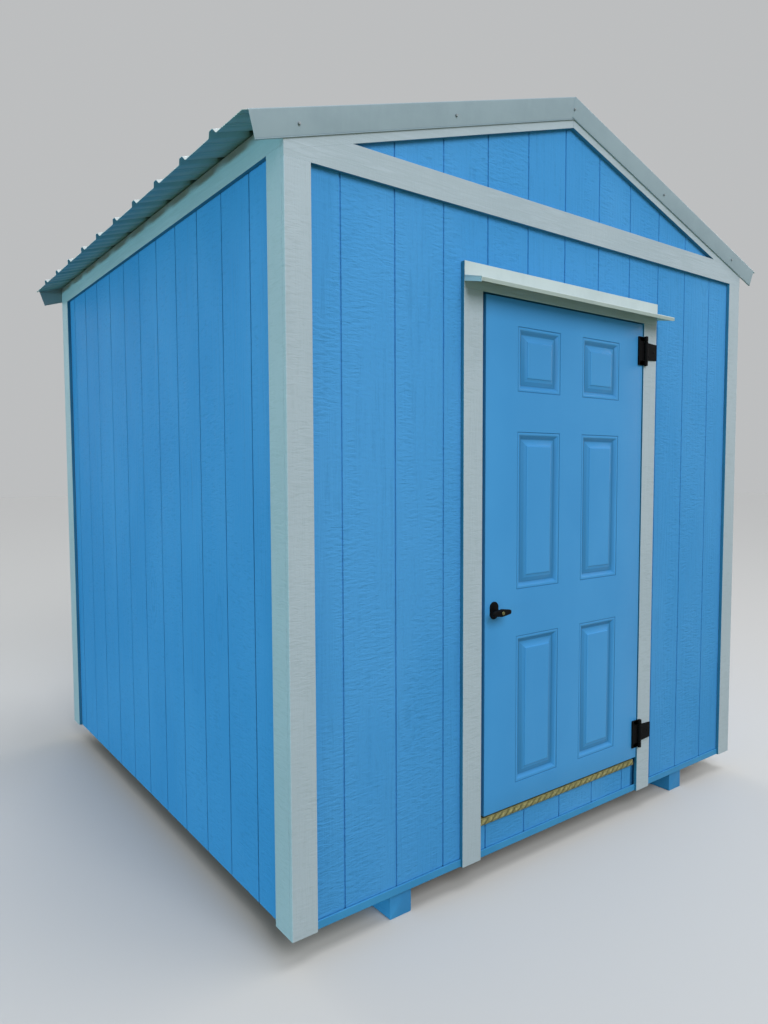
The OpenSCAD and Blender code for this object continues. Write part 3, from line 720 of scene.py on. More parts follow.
sidingFinish = sidingPaint(sidingPaintLook)
trimFinish = {axis: boardPaint(axis, boardPaintLook) for axis in "XY"}
trimFinish["Z"] = boardPaint("Z", uprightBoardLook)
blueFinish = {part: bluePaint(part, *tones) for part, tones in blueTones.items()}
doorFinish = doorPaint(doorPaintLook)
sheetFinish = {name: coatedSheet(name, *tones) for name, tones in sheetTones.items()}
brassFinish = brassPlate(brassLook)
keyFinish = keyBrass(keyLook)
speckFinish = {name: specked(name, look) for name, look in speckLook.items()}
blackFinish = speckFinish["blackMetal"]
lumberFinish = {axis: lumber(axis, lumberLook) for axis in "XYZ"}
strandFinish = strandBoard(strandLook)
deckFinish = deckPly(deckLook)
print("finishes made:", len(bpy.data.materials))


# Bare framing keeps its own solids; the grain runs along each kind of piece

framingGrain = {
    "floor_joists": "Y", "floor_rims": "X", "side_wall_plates": "Y", "end_wall_plates": "X",
    "side_wall_studs": "Z", "end_wall_studs": "Z", "door_header": "X", "rafters": "X",
    "ridge_board": "Y", "roof_purlins": "Y",
}


def finishNode(node, material):
    # a CAD node's own mesh with one material
    nodes[node].data.materials.clear()
    nodes[node].data.materials.append(material)


for node, axis in framingGrain.items():
    finishNode(node, lumberFinish[axis])
finishNode("floor_deck", deckFinish)


# Grooved siding

sidingLook = {
    "groovePitch": 203.2 * mm, "grooveWidth": 6.5 * mm, "grooveDepth": 4.6 * mm,
    "grooveReach": 20,  # most grooves to either side of the first
    "grooveLines": (-1.3, -1.0, -0.5, 0.5, 1.0, 1.3),  # grid lines over a groove, in half widths
    "grooveClear": 1.6,  # half widths from a groove that the even lines keep off
    "grooveWall": 0.5,  # share of the half width that slopes
    # first groove along the wall, grid step across and up, and how strong the painted shade in the grooves is,
    # stronger on the side walls
    "ends": (-1241.55 * mm, 4.6 * mm, 15 * mm, 0.08),
    "sides": (-1154.75 * mm, 6.0 * mm, 20 * mm, 1.0),
    "relief": 0.55 * mm, "ringWidth": 23 * mm,
    "figure": (75 * mm, 0.8),  # noise cells across and up
    "swirl": (45 * mm, 0.16),
    "bends": (3.2, 0.5),  # rings that the figure and the swirl push the grain aside
    "shownCells": (0.17, 0.5),
    "shown": (3, 0.8, 0.15),  # gain, threshold and least share of the grain
    "grit": (30 * mm, 40 * mm), "gritShare": 0.35,
    "seeds": (20, 13, 29),  # first, by the side faced, by the kind of wall
    "recessFrom": 446 * mm,  # below the door the sheet stops here and a recess runs to the casing
    "recess": 10 * mm, "recessEdge": 0.5 * mm,
    "grimeLine": 5 * mm,  # height of the painted shadow line on the sheet above the base strips
    "grime": 0.7,  # how dark the painted shade on that line and in the recess is
}


def grooveLines(low, high, first, step, look):
    # places across a sheet: an even step, thinned near the grooves, with six lines over each groove
    width = look["grooveWidth"]
    reach = look["grooveReach"]
    grooves = first + look["groovePitch"] * np.arange(-reach, reach + 1)
    grooves = grooves[(grooves > low + width) & (grooves < high - width)]
    even = np.linspace(low, high, int(round((high - low) / step)) + 1)
    gap = np.abs(even[:, None] - grooves).min(1)
    over = (grooves[:, None] + width / 2 * np.array(look["grooveLines"])).ravel()
    return np.sort(np.concatenate([even[gap > look["grooveClear"] * width / 2], over])), grooves


def sidingSheet(node, onEnd, faceSide, topLine=None, recessed=False, stripTop=None):
    # face grid of (across, up): grooves cut in, grain pressed in, painted shade marked in the grooves, in the
    # recess and above the base strips; then the cut edge and the flat back
    look = sidingLook
    low, high = cornersOf(node)
    across, deep = (0, 1) if onEnd else (1, 0)
    first, stepAcross, stepUp, grooveShade = look["ends" if onEnd else "sides"]
    lines, grooves = grooveLines(low[across], high[across], first, stepAcross, look)
    if recessed:
        lines = np.sort(np.append(lines, look["recessFrom"] + look["recessEdge"] * np.array([-1, 1])))
    top = topLine(lines) if topLine else np.full(len(lines), high[2])
    share = np.linspace(0, 1, int(round((top.max() - low[2]) / stepUp)) + 1)
    # heights of the painted shadow line above the base strips
    if stripTop:
        grime = stripTop + np.array([0, look["grimeLine"]])
        share = np.sort(np.append(share, (grime - low[2]) / (high[2] - low[2])))
    u, v = np.broadcast_arrays(lines, low[2] + share[:, None] * (top - low[2]))
    gap = np.abs(lines[:, None] - grooves).min(1)
    half = look["grooveWidth"] / 2
    cut = np.clip((half - gap) / (look["grooveWall"] * half), 0, 1)
    firstSeed, bySide, byWall = look["seeds"]
    seed = firstSeed + bySide * faceSide + byWall * onEnd
    byFigure, bySwirl = look["bends"]
    rings = u / look["ringWidth"] + byFigure * softNoise(u, v, *look["figure"], seed)
    rings = rings + bySwirl * softNoise(u, v, *look["swirl"], seed + 1)
    gain, threshold, least = look["shown"]
    shown = np.clip(gain * softNoise(u, v, *look["shownCells"], seed + 2) - threshold, least, 1)
    pressed = look["relief"] * shown * (0.5 + 0.5 * np.sin(2 * pi * rings))
    pressed += look["gritShare"] * look["relief"] * softNoise(u, v, *look["grit"], seed + 3)
    depth = np.maximum(pressed * (1 - cut), cut * look["grooveDepth"])
    # painted shade in the grooves
    dark = np.broadcast_to(cut * grooveShade, u.shape)
    # painted shade in the recess below the door
    if recessed:
        away = u > look["recessFrom"]
        depth = np.where(away, look["recess"], depth)
        dark = np.where(away, look["grime"], dark)
    # painted shadow along the top of the base strips
    if stripTop:
        dark = np.maximum(dark, look["grime"] * (v < stripTop + look["grimeLine"] / 2))
    thickness = high[deep] - low[deep]
    face = low[deep] if faceSide < 0 else high[deep]

    def onWall(u, v, depth):
        # points at a place across and up the wall, and at a depth behind its face
        return byAxis({across: u, deep: face - faceSide * depth, 2: v}).reshape(-1, 3)

    rim = rimOf(*u.shape)
    behind = np.arange(len(rim)) + u.size
    strips = np.stack([np.roll(rim, -1), rim, behind, np.roll(behind, -1)], 1)
    faces = [gridQuads(*u.shape), strips, behind[None, ::-1]]
    back = onWall(u.ravel()[rim], v.ravel()[rim], thickness)
    shell = outward(np.concatenate([onWall(u, v, depth), back]), faces)
    shade = np.concatenate([dark.ravel(), np.zeros(len(rim))])
    material = np.zeros(sum(len(group) for group in faces), int)
    material[-1] = 1
    addPiece(node + "_grooved", shell, [sidingFinish, strandFinish], "shed", [node], material,
             {"grooveShade": shade})


roofSlope = 0.316  # rise over run, as the frame's roof lines have it
slopeAngle = atan(roofSlope)


def gableTop(x):
    # the gable's upper edge falls from the middle by the roof's slope
    return cornersOf("front_gable_siding")[1][2] - roofSlope * np.abs(x)


stripTop = cornersOf("base_strips")[1][2]
sidingSheet("front_siding_left", True, -1, stripTop=stripTop)
sidingSheet("front_siding_right", True, -1, stripTop=stripTop)
sidingSheet("front_siding_over_door", True, -1)
sidingSheet("front_siding_below_door", True, -1, recessed=True, stripTop=stripTop)
sidingSheet("front_gable_siding", True, -1, topLine=gableTop)
sidingSheet("back_siding", True, 1)
sidingSheet("back_gable_siding", True, 1, topLine=gableTop)
sidingSheet("left_siding", False, -1)
sidingSheet("right_siding", False, 1)
print("siding made")


# Trim boards with eased edges

trimLook = {
    "edge": 2.4 * mm, "end": 0.2 * mm, "slopeEdge": 0.3 * mm, "stripEdge": 1.2 * mm,
    "stripThick": 6 * mm, "skidEdge": 4.0 * mm,
    "facing": 0.8,  # share of a face's normal that makes it a board's narrow edge
}


def addTrim(node, shells, axis, wallEdge):
    # pale boards; narrow edges that meet the sheet carry the wall's blue, darkened as painted shade
    shell = joined(shells)
    blue = wallEdge(*facesOf(shell)) > trimLook["facing"]
    materials = [trimFinish[axis], blueFinish["edge"]]
    addPiece(node + "_eased", shell, materials, "shed", [node], blue)


def boardsOf(node, edge):
    # one eased board for each solid of the node
    return [board(low, high, edge, trimLook["end"]) for low, high in solidsOf(node)]


def addPainted(node, shells, part):
    # boards in one of the blue paints
    addPiece(node + "_eased", joined(shells), [blueFinish[part]], "shed", [node])


# grain of each trim and, by a face's middle and normal, how much the face meets the sheet
straightTrim = {
    "end_corner_boards": ("Z", lambda middle, normal: -np.sign(middle[:, 0]) * normal[:, 0]),
    "side_corner_boards": ("Z", lambda middle, normal: -np.sign(middle[:, 1]) * normal[:, 1]),
    "eave_fascias": ("Y", lambda middle, normal: -normal[:, 2]),
    "door_casings": ("Z", lambda middle, normal: np.abs(normal[:, 0])),
    "door_header_trim": ("X", lambda middle, normal: np.maximum(-normal[:, 2], np.abs(normal[:, 0]))),
}

for node, (axis, wallEdge) in straightTrim.items():
    addTrim(node, boardsOf(node, trimLook["edge"]), axis, wallEdge)
for node in ("door_jambs", "door_stops"):
    addPainted(node, boardsOf(node, trimLook["stripEdge"]), "jamb")
addPainted("skids", boardsOf("skids", trimLook["skidEdge"]), "skid")


def baseStrips():
    # thin strips against the sheets' lower edge
    shells = []
    for low, high in solidsOf("base_strips"):
        low[1] = high[1] - trimLook["stripThick"]
        shells.append(board(low, high, trimLook["stripEdge"], trimLook["end"]))
    addPainted("base_strips", shells, "base")


baseStrips()


def slopeLines(node):
    # lowest and highest of the heights at which a node's roof-parallel faces would cross the middle
    points = pointsOf(node)
    lines = points[:, 2] + roofSlope * np.abs(points[:, 0])
    return lines.min(), lines.max()


def rakeBoards(node):
    # level boards between the two lines, then sheared down by the slope
    lowLine, highLine = slopeLines(node)
    shells = []
    for low, high in solidsOf(node):
        low[2], high[2] = lowLine, highLine
        points, faces = board(low, high, trimLook["slopeEdge"], trimLook["end"])
        points[:, 2] -= roofSlope * np.abs(points[:, 0])
        shells.append((points, faces))
    addTrim(node, shells, "X", lambda middle, normal: -normal[:, 2])
    return lowLine


def friezeBoards(rakeLow):
    # full-height boards whose upper edge is pressed down under the rake boards towards both ends
    shells = []
    for low, high in solidsOf("frieze_boards"):
        breakAt = (rakeLow - high[2]) / roofSlope
        between = (-breakAt, 0, breakAt)
        points, faces = board(low, high, trimLook["slopeEdge"], trimLook["end"], between)
        limit = rakeLow - roofSlope * np.abs(points[:, 0])
        press = np.minimum(1, (limit - low[2]) / (high[2] - low[2]))
        points[:, 2] = low[2] + (points[:, 2] - low[2]) * press
        shells.append((points, faces))
    addTrim("frieze_boards", shells, "X", lambda middle, normal: -normal[:, 2])


rakeBoards("back_rake_boards")
friezeBoards(rakeBoards("front_rake_boards"))
print("trim made")


# Roof: ribbed sheets, ridge cap and rake trim

roofLook = {
    "ribPitch": 228.6 * mm,
    "firstRib": 196 * mm,  # from the face of the front rake trim
    "mostRibs": 11,
    "tallRib": (50 * mm, 22 * mm, 15 * mm),  # width at the foot and at the top, height
    "lowRib": (26 * mm, 12 * mm, 0.35 * mm),
    "inRib": 0.25,  # share of a tall rib's height from which a point counts as inside it
    "lowRibOff": 38 * mm,  # low ribs lie either side of the middle of each pan
    "bend": 1.8 * mm,
    "bendCut": (0.7, 0.75),  # where the flat that cuts a bend starts, across and up, in bends
    "edgeClear": 4,  # bends that a rib keeps from the sheet's edge
    "sheet": 1.2 * mm,
    "aboveRib": 1.6 * mm,  # room for sheet and sway over a rib at the eave
    "clear": 0.1 * mm,  # gap to the framing below
    "sway": 1.1 * mm, "swayCells": (0.14, 0.35), "swayShift": (9, 3), "swaySeed": 5,
    "ridgeStart": 20 * mm, "stations": 16,
    "overWall": (60 * mm, 3 * mm),  # painted shade inside the ribs between these distances from the fascia's face
    "overWallEase": 6 * mm,
}


def onSlope(side, along, lift, line):
    # point at a distance down the slope and a lift square to it, from where the line crosses the middle
    x = side * (along * cos(slopeAngle) + lift * sin(slopeAngle))
    return x, line - along * sin(slopeAngle) + lift * cos(slopeAngle)


def ribProfile(low, high, face, look):
    # places across the sheet and their lift: pans, tall ribs and low ribs, each bend cut by a short flat
    bend = look["bend"]
    pitch = look["ribPitch"]
    cutAcross, cutUp = np.array(look["bendCut"]) * bend

    def rib(foot, top, height):
        # half widths and heights up one side, then mirrored
        half = np.array([foot / 2 + bend, foot / 2 - cutAcross, top / 2 + cutAcross, top / 2 - bend])
        rise = np.array([0, cutUp, height - cutUp, height])
        return np.concatenate([-half, half[::-1]]), np.concatenate([rise, rise[::-1]])

    centres = face + look["firstRib"] + pitch * np.arange(look["mostRibs"])
    centres = centres[centres < high - 2 * look["tallRib"][0]]
    pans = np.concatenate([centres - pitch / 2, centres[-1:] + pitch / 2])
    off = look["lowRibOff"]
    places, lifts = [], []
    for middles, shape in ((centres, "tallRib"), (pans - off, "lowRib"), (pans + off, "lowRib")):
        half, rise = rib(*look[shape])
        places.append((middles[:, None] + half).ravel())
        lifts.append(np.tile(rise, len(middles)))
    places, lifts = np.concatenate(places), np.concatenate(lifts)
    clear = look["edgeClear"] * bend
    inside = (places > low + clear) & (places < high - clear)
    order = np.argsort(places[inside])
    across = np.concatenate([[low], places[inside][order], [high]])
    return across, np.concatenate([[0], lifts[inside][order], [0]]), centres


def roofSheet(node, side, face):
    # rib profile across the roof carried down the slope, swaying a little between the ribs
    look = roofLook
    low, high = cornersOf(node)
    line = slopeLines(node)[0]
    across, lift, ribs = ribProfile(low[1], high[1], face, look)
    ribHeight = look["tallRib"][2]
    reach = np.abs([low[0], high[0]]).max() - (ribHeight + look["aboveRib"]) * sin(slopeAngle)
    dark = cornersOf("eave_fascias")[1][0] - np.array(look["overWall"])
    ease = look["overWallEase"] * np.array([-1, 1])
    fromRidge = np.concatenate([np.linspace(look["ridgeStart"], reach, look["stations"]), dark, dark + ease])
    along = np.sort(fromRidge)[:, None] / cos(slopeAngle)
    y = np.broadcast_to(across, (len(along), len(across)))
    shiftAcross, shiftAlong = look["swayShift"]
    sway = look["sway"] * softNoise(y + shiftAcross, along + shiftAlong * side, *look["swayCells"],
                                    look["swaySeed"])
    surfaces = []
    for raised in (look["sheet"], 0.0):
        x, z = onSlope(side, along, lift + raised + sway + look["clear"], line)
        surfaces.append(gridded(x, y, z))
    topFaces = (len(along) - 1) * (len(across) - 1)
    rimFaces = 2 * (len(along) + len(across) - 2)
    material = np.repeat([0, 1, 0], [topFaces, topFaces, rimFaces])
    ownAlong = np.tile(np.repeat(along.ravel(), len(across)), 2) * cos(slopeAngle)
    inRib = np.tile(lift > look["inRib"] * ribHeight, 2 * len(along))
    # painted shade inside the ribs where they pass over the wall
    overWall = inRib & (ownAlong > dark[0] - mm) & (ownAlong < dark[1] + mm)
    materials = [sheetFinish["roofSheet"], sheetFinish["roofUnderside"]]
    addPiece(node + "_ribbed", plated(*surfaces), materials, "shed", [node], material,
             {"overWall": overWall})
    return ribs


def bentLine(corners, radius, steps=5, lead=1.2):
    # polyline with arcs at its inner corners: each a quadratic curve from radius before to radius after,
    # with a point led in just before it and one just after
    corners = np.array(corners, float)
    parts = [corners[:1]]
    t = np.linspace(0, 1, steps + 1)[:, None]
    for before, corner, after in zip(corners, corners[1:], corners[2:]):
        back = (before - corner) / np.linalg.norm(before - corner)
        ahead = (after - corner) / np.linalg.norm(after - corner)
        arc = corner + radius * ((1 - t) ** 2 * back + t ** 2 * ahead)
        parts += [corner + lead * radius * back[None], arc, corner + lead * radius * ahead[None]]
    return np.concatenate(parts + [corners[-1:]])


def offsetLine(line, distance):
    # each point moved square to the line's own direction
    direction = np.gradient(line, axis=0)
    direction /= np.linalg.norm(direction, axis=1)[:, None]
    return line + distance * np.stack([-direction[:, 1], direction[:, 0]], 1)


rakeTrimLook = {
    "leg": 76 * mm, "flange": 60 * mm, "bend": 8.0 * mm, "hem": 9 * mm,
    "hemGap": 2.2,  # sheets that the folded hem stands off
    "sheet": 1.1 * mm, "wave": 0.7 * mm, "waveCells": (0.22, 0.06), "waveShift": 5, "waveSeed": 3,
    "lap": 27 * mm,  # the right trim's end reaches over the left one at the ridge
    "lapCorner": 22 * mm,
    "lapRound": 0.98,  # how nearly the lap's corner is a full quarter circle
    "lapIn": 20 * mm,  # the lap's part of the profile, from the leg's face
    "lean": 7.0 * mm,  # the leg's foot leans in to the rake board
    "jointHalf": 0.5 * mm, "stations": 60,
    "screwPlaces": (-1188 * mm, -597 * mm, -4 * mm, 584 * mm, 1143 * mm),
    "screwDrop": 46 * mm,
}


def rakeTrim(node, end):
    # angle of sheet: flange in from the bend, leg down to a folded hem, carried down both slopes
    look = rakeTrimLook
    low, high = cornersOf(node)
    line = slopeLines(node)[1]
    face = low[1] if end < 0 else high[1]
    stop = high[0] / cos(slopeAngle)
    leg = look["leg"]
    hemIn = look["sheet"] * look["hemGap"]
    corners = [(look["flange"], 0), (0, 0), (0, -leg), (hemIn, -leg), (hemIn, look["hem"] - leg)]
    profile = bentLine(corners, look["bend"] / 2)
    shells = []
    for side in (-1, 1):
        over = side > 0
        setIn = 0.0 if over else look["sheet"]
        surfaces = []
        for layer in (profile, offsetLine(profile, look["sheet"])):
            inward, lift = layer.T
            drop = np.clip(-lift / leg, 0, 1)
            corner = np.clip((drop * leg - leg + look["lapCorner"]) / look["lapCorner"], 0, 1)
            rounded = 1 - np.sqrt(1 - look["lapRound"] * corner ** 2)
            lap = look["lap"] * drop - look["lapCorner"] * rounded
            edge = np.where(over & (inward < look["lapIn"]), -lap, look["jointHalf"])
            start = (edge - lift * sin(slopeAngle)) / cos(slopeAngle)
            along = start + np.linspace(0, 1, look["stations"])[:, None] * (stop - start)
            noise = softNoise(along + look["waveShift"] * side, lift + 0 * along, *look["waveCells"],
                              look["waveSeed"])
            ripple = look["wave"] * (noise - 0.5) * drop
            x, z = onSlope(side, along, lift, line)
            y = face - end * (inward + setIn + ripple + look["lean"] * drop ** 2)
            surfaces.append(gridded(x, y, z))
        shells.append(plated(*surfaces))
    addPiece(node + "_bent", joined(shells), [sheetFinish["rakeSheet"]], "shed", [node])


ridgeLook = {
    "width": 150 * mm,  # from the ridge to each edge
    "bend": 16 * mm, "sheet": 1.2 * mm,
    "lip": (7 * mm, 1.05 * mm),  # width and rise of the turned-up edges
    "lipBend": 3 * mm, "stations": 24,
}


def ridgeCap():
    # bent strip over the ridge with a rounded crown and edges turned a little up, carried along the roof
    look = ridgeLook
    low, high = cornersOf("ridge_cap")
    line = slopeLines("ridge_cap")[0]
    width, bend = look["width"], look["bend"]
    lipWide, lipRise = look["lip"]
    foot = line - roofSlope * width
    tip = foot + lipRise
    fold = foot + roofSlope * lipWide
    corners = [(-width, tip), (lipWide - width, fold), (0, line), (width - lipWide, fold), (width, tip)]
    outline = bentLine(corners, look["lipBend"])
    x = outline[:, 0]
    crown = line - 0.5 * bend * roofSlope * (1 + (x / bend) ** 2)
    outline[:, 1] = np.minimum(outline[:, 1], np.where(np.abs(x) < bend, crown, line))
    across = np.linspace(low[1], high[1], look["stations"])[:, None]
    layers = (offsetLine(outline, look["sheet"]), outline)
    shell = plated(*(gridded(layer[:, 0], across, layer[:, 1]) for layer in layers))
    addPiece("ridge_cap_bent", shell, [sheetFinish["roofSheet"]], "shed", ["ridge_cap"])


trimFace = cornersOf("front_rake_trim")[0][1]
ribPlaces = roofSheet("roof_sheet_left", -1, trimFace)
roofSheet("roof_sheet_right", 1, trimFace)
rakeTrim("front_rake_trim", -1)
rakeTrim("back_rake_trim", 1)
ridgeCap()
print("roof made")


# Screws: a dished washer and a six-sided head, on the roof and on the rake trims

screwLook = {
    "roof": {"washer": 7.5 * mm, "washerHeight": 2.0 * mm, "flange": 5.6 * mm, "head": 4.2 * mm,
             "headHeight": 5.0 * mm},
    "rake": {"washer": 4.6 * mm, "washerHeight": 0.8 * mm, "flange": 4.2 * mm, "head": 3.2 * mm,
             "headHeight": 3.2 * mm},
    "washerShape": ((0, 1), (0.6, 1), (1, 0.8)),  # shares of the washer's height and radius
    "flangeThick": 0.9 * mm, "headEase": 0.6 * mm, "headTop": 0.82, "roundSides": 14,
    "headSides": 6, "besideRib": 36 * mm,
    "swayShare": 0.9,  # of the sheet's sway, at which the washers sit
    "fromCapEdge": 26 * mm,
}


def screwParts(size, look):
    # washer, and flange with head, as turned shells on the Z axis
    base = size["washerHeight"]
    washer = lathed(look["washerShape"], base, size["washer"], look["roundSides"])
    seat = base + look["flangeThick"]
    flange = turned([(base, size["flange"]), (seat, size["flange"])], look["roundSides"])
    top = base + size["headHeight"]
    head = turned([(seat, size["head"]), (top - look["headEase"], size["head"]),
                   (top, look["headTop"] * size["head"])], look["headSides"])
    return washer, joined([flange, head])


def addScrews(name, centres, axis, size):
    # rubber washers and steel heads at the centres, square to the axis
    washers, heads = (placedAt(part, centres, axis) for part in screwParts(screwLook[size], screwLook))
    counts = [sum(len(group) for group in faces) for points, faces in (washers, heads)]
    materials = [speckFinish["rubberWasher"], speckFinish["screwSteel"]]
    addPiece(name, joined([washers, heads]), materials, "shed",
             faceMaterial=np.repeat([0, 1], counts))


def roofScrews(name, side):
    # screws on the pans beside the tall ribs over each purlin, and a row along the ridge cap's edge
    look = screwLook
    line = slopeLines("roof_sheet_left")[0]
    purlins = [low[0] + high[0] for low, high in solidsOf("roof_purlins")]
    middles = np.sort([abs(x) / 2 for x in purlins if side * x > 0]) / cos(slopeAngle)
    along, across = np.meshgrid(middles[1:], ribPlaces + look["besideRib"], indexing="ij")
    lift = roofLook["sheet"] + look["swayShare"] * roofLook["sway"]
    x, z = onSlope(side, along.ravel(), lift, line)
    capAlong = (ridgeLook["width"] - look["fromCapEdge"]) / cos(slopeAngle)
    capX, capZ = onSlope(side, capAlong, ridgeLook["sheet"], slopeLines("ridge_cap")[0])
    centres = np.concatenate([gridded(x, across.ravel(), z), gridded(capX, ribPlaces, capZ)])
    addScrews(name, centres, (side * sin(slopeAngle), 0, cos(slopeAngle)), "roof")


def rakeScrews(name, node, end):
    # one screw at each noted place, square to the leg's face
    look = rakeTrimLook
    low, high = cornersOf(node)
    x = np.array(look["screwPlaces"])
    z = slopeLines(node)[1] - roofSlope * np.abs(x) - look["screwDrop"]
    lean = look["lean"] * (look["screwDrop"] / look["leg"]) ** 2
    y = (low[1] if end < 0 else high[1]) - end * lean
    addScrews(name, gridded(x, y, z), (0, end, 0), "rake")


roofScrews("roof_screws_left", -1)
roofScrews("roof_screws_right", 1)
rakeScrews("front_rake_screws", "front_rake_trim", -1)
rakeScrews("back_rake_screws", "back_rake_trim", 1)
print("screws made")


# Drip cap over the doorway

dripLook = {
    "bend": 2.5 * mm, "sheet": 1.1 * mm,
    "leg": 69 * mm,  # from the leg's top down to the front edge
    "fall": 16 * mm,  # how far the flange slopes down to its front edge
    "lip": (12 * mm, 6 * mm),  # down and back
    "endRise": 6 * mm,  # the end plates stand above the flange at the wall
    "endDrop": (14 * mm, 17 * mm, 12 * mm),  # and hang below it: at the wall, front left, front right
    "stations": 32, "endSteps": 9,
}


def dripCap():
    # upright leg, sloping flange and a lip turned back, carried across the doorway;
    # a slanting plate closes each end
    look = dripLook
    low, high = cornersOf("drip_cap")
    frontZ = high[2] - look["leg"]
    wallZ = frontZ + look["fall"]
    wallY = high[1] - look["sheet"]
    lipDown, lipBack = look["lip"]
    lipEnd = (low[1] + lipBack, frontZ - lipDown)
    profile = bentLine([(wallY, high[2]), (wallY, wallZ), (low[1], frontZ), lipEnd], look["bend"])
    stations = np.linspace(low[0], high[0], look["stations"])[:, None]
    layers = (profile, offsetLine(profile, -look["sheet"]))
    shells = [plated(*(gridded(stations, *layer.T) for layer in layers))]
    depth = np.linspace(0, 1, look["endSteps"])
    y = wallY + depth * (low[1] - wallY)
    flange = wallZ + depth * (frontZ - wallZ)
    top = flange + (1 - depth) * look["endRise"]
    atWall, atLeft, atRight = look["endDrop"]
    for x, thick, atFront in ((low[0], look["sheet"], atLeft), (high[0], -look["sheet"], atRight)):
        foot = flange - atWall - depth * (atFront - atWall)
        plate = gridded(x, y, np.stack([top, foot]))
        shells.append(plated(plate, plate + np.array([thick, 0, 0])))
    addPiece("drip_cap_bent", joined(shells), [sheetFinish["dripSheet"]], "shed", ["drip_cap"])


dripCap()


# Threshold with a roped nosing

thresholdLook = {
    "plate": 3 * mm, "strand": 35 * mm,
    "slant": 0.9,  # strands that the cut leans over the height of the nosing
    "bulge": 5.0 * mm,
    "bulgePower": 0.6,  # below 1 squares off the nosing
    "cut": 3.4 * mm,
    "cutPower": 0.7,  # below 1 narrows the cuts between the strands
    "ridges": 7, "ridge": 0.7 * mm, "step": 2.4 * mm, "topSteps": 57, "faceSteps": 17,
    "bright": (0.1, 0.9, 1.5),  # least, spread and power of the brightness over a strand
    "topBright": 0.9, "sharp": 55,
}


def ropedThreshold():
    # closed outline in Y and Z carried along X; its front swells like a rope cut by slanting strands
    look = thresholdLook
    low, high = cornersOf("threshold")
    front, back = low[1], high[1]
    wall = cornersOf("front_siding_below_door")[0][1]
    plateLow = high[2] - look["plate"]
    topShare = np.linspace(1, 0, look["topSteps"])
    topY = front + look["bulge"] + topShare * (back - front - look["bulge"])
    topZ = high[2] - look["ridge"] * (0.5 - 0.5 * np.cos(2 * pi * look["ridges"] * topShare))
    faceShare = np.linspace(0, 1, look["faceSteps"])[1:-1]
    faceZ = high[2] - faceShare * (high[2] - low[2])
    footY = [front + look["bulge"], wall, wall, back]
    footZ = [low[2], low[2], plateLow, plateLow]
    outlineY = np.concatenate([topY, np.full(len(faceShare), front), footY])
    outlineZ = np.concatenate([topZ, faceZ, footZ])
    swollen = np.sin(pi * faceShare) ** look["bulgePower"]
    onFace = np.concatenate([0 * topY, swollen, np.zeros(len(footY))])
    share = np.concatenate([0 * topY, faceShare, np.ones(len(footY))])
    stations = np.arange(low[0], high[0] + look["step"] / 2, look["step"])
    stations[-1] = high[0]
    phase = stations[:, None] / look["strand"] + look["slant"] * share
    strand = np.abs(np.sin(pi * phase)) ** look["cutPower"]
    swell = look["bulge"] * (1 - onFace) * (onFace > 0) + look["cut"] * (1 - strand) * onFace
    shell = carried(gridded(stations[:, None], outlineY + swell, outlineZ))
    least, spread, power = look["bright"]
    bright = np.where(onFace > 0, least + spread * strand ** power * onFace, look["topBright"])
    addPiece("threshold_roped", shell, [brassFinish], "shed", ["threshold"],
             marks={"strandShare": bright.ravel()}, sharp=look["sharp"])


ropedThreshold()
print("drip cap and threshold made")


# Door: six raised panels pressed into both faces

doorLook = {
    "stile": 164 * mm, "midStile": 138 * mm,
    "rails": (88 * mm, 181 * mm, 152 * mm, 97 * mm),  # bottom, lock, upper and top
    "lowPanels": (543 * mm, 566 * mm),  # bottom and middle rows; the top row takes the rest
    "ease": 2.0 * mm,
    "bevel": (27 * mm, 40 * mm, 52 * mm),  # where the raised field's slope starts, bends and ends
    "bevelShade": ((0.48, 0.50), (0.32, 0.06)),  # painted shade on the bevels, outside and inside the bend: upright, lower slopes
    "tilt": 0.2,  # share of a face's normal that makes it a slope
    "sharp": 26,
    "spread": 4.5 * mm,  # how far the moulding reaches past the panel's edge
    # moulding from a panel's edge inwards: millimetres in and deep, and how much painted shade lies there
    "moulding": ((0, 0, 0), (0.8, 1.7, 0.8), (2.2, 2.0, 0.9), (3.4, 1.0, 0.2), (5.5, 0.5, 0), (8.5, 0.6, 0),
                 (11.0, 1.4, 0.1), (13.0, 2.9, 0.2), (18.0, 6.6, 0.3), (22.5, 9.7, 0.55), (24.5, 10.6, 0.85),
                 (26.5, 10.8, 0.9), (28.0, 10.3, 0.3), (40.0, 6.3, 0), (50.3, 2.7, 0), (51.8, 0.9, 0),
                 (53.0, 0.4, 0), (56.0, 0.4, 0)),
}


def doorFace(columns, rows, inward, depth):
    # flat cells between the lines; in each panel, rectangles nested by the moulding's distance and depth
    z, x = np.meshgrid(rows, columns, indexing="ij")
    quads = gridQuads(*x.shape).reshape(len(rows) - 1, len(columns) - 1, 4)
    isPanel = np.zeros(quads.shape[:2], bool)
    isPanel[1::2, 1::2] = True
    shells = [(gridded(x, 0.0, z).reshape(-1, 3), [quads[~isPanel]])]
    field = np.arange(4)[None] + 4 * (len(inward) - 1)
    for row, column in np.argwhere(isPanel):
        left, right = columns[column] + inward, columns[column + 1] - inward
        low, high = rows[row] + inward, rows[row + 1] - inward
        nested = gridded(np.stack([left, right, right, left], 1), depth[:, None],
                         np.stack([low, low, high, high], 1))
        shells.append((nested.reshape(-1, 3), [gridQuads(len(inward), 4, True), field]))
    return joined(shells)


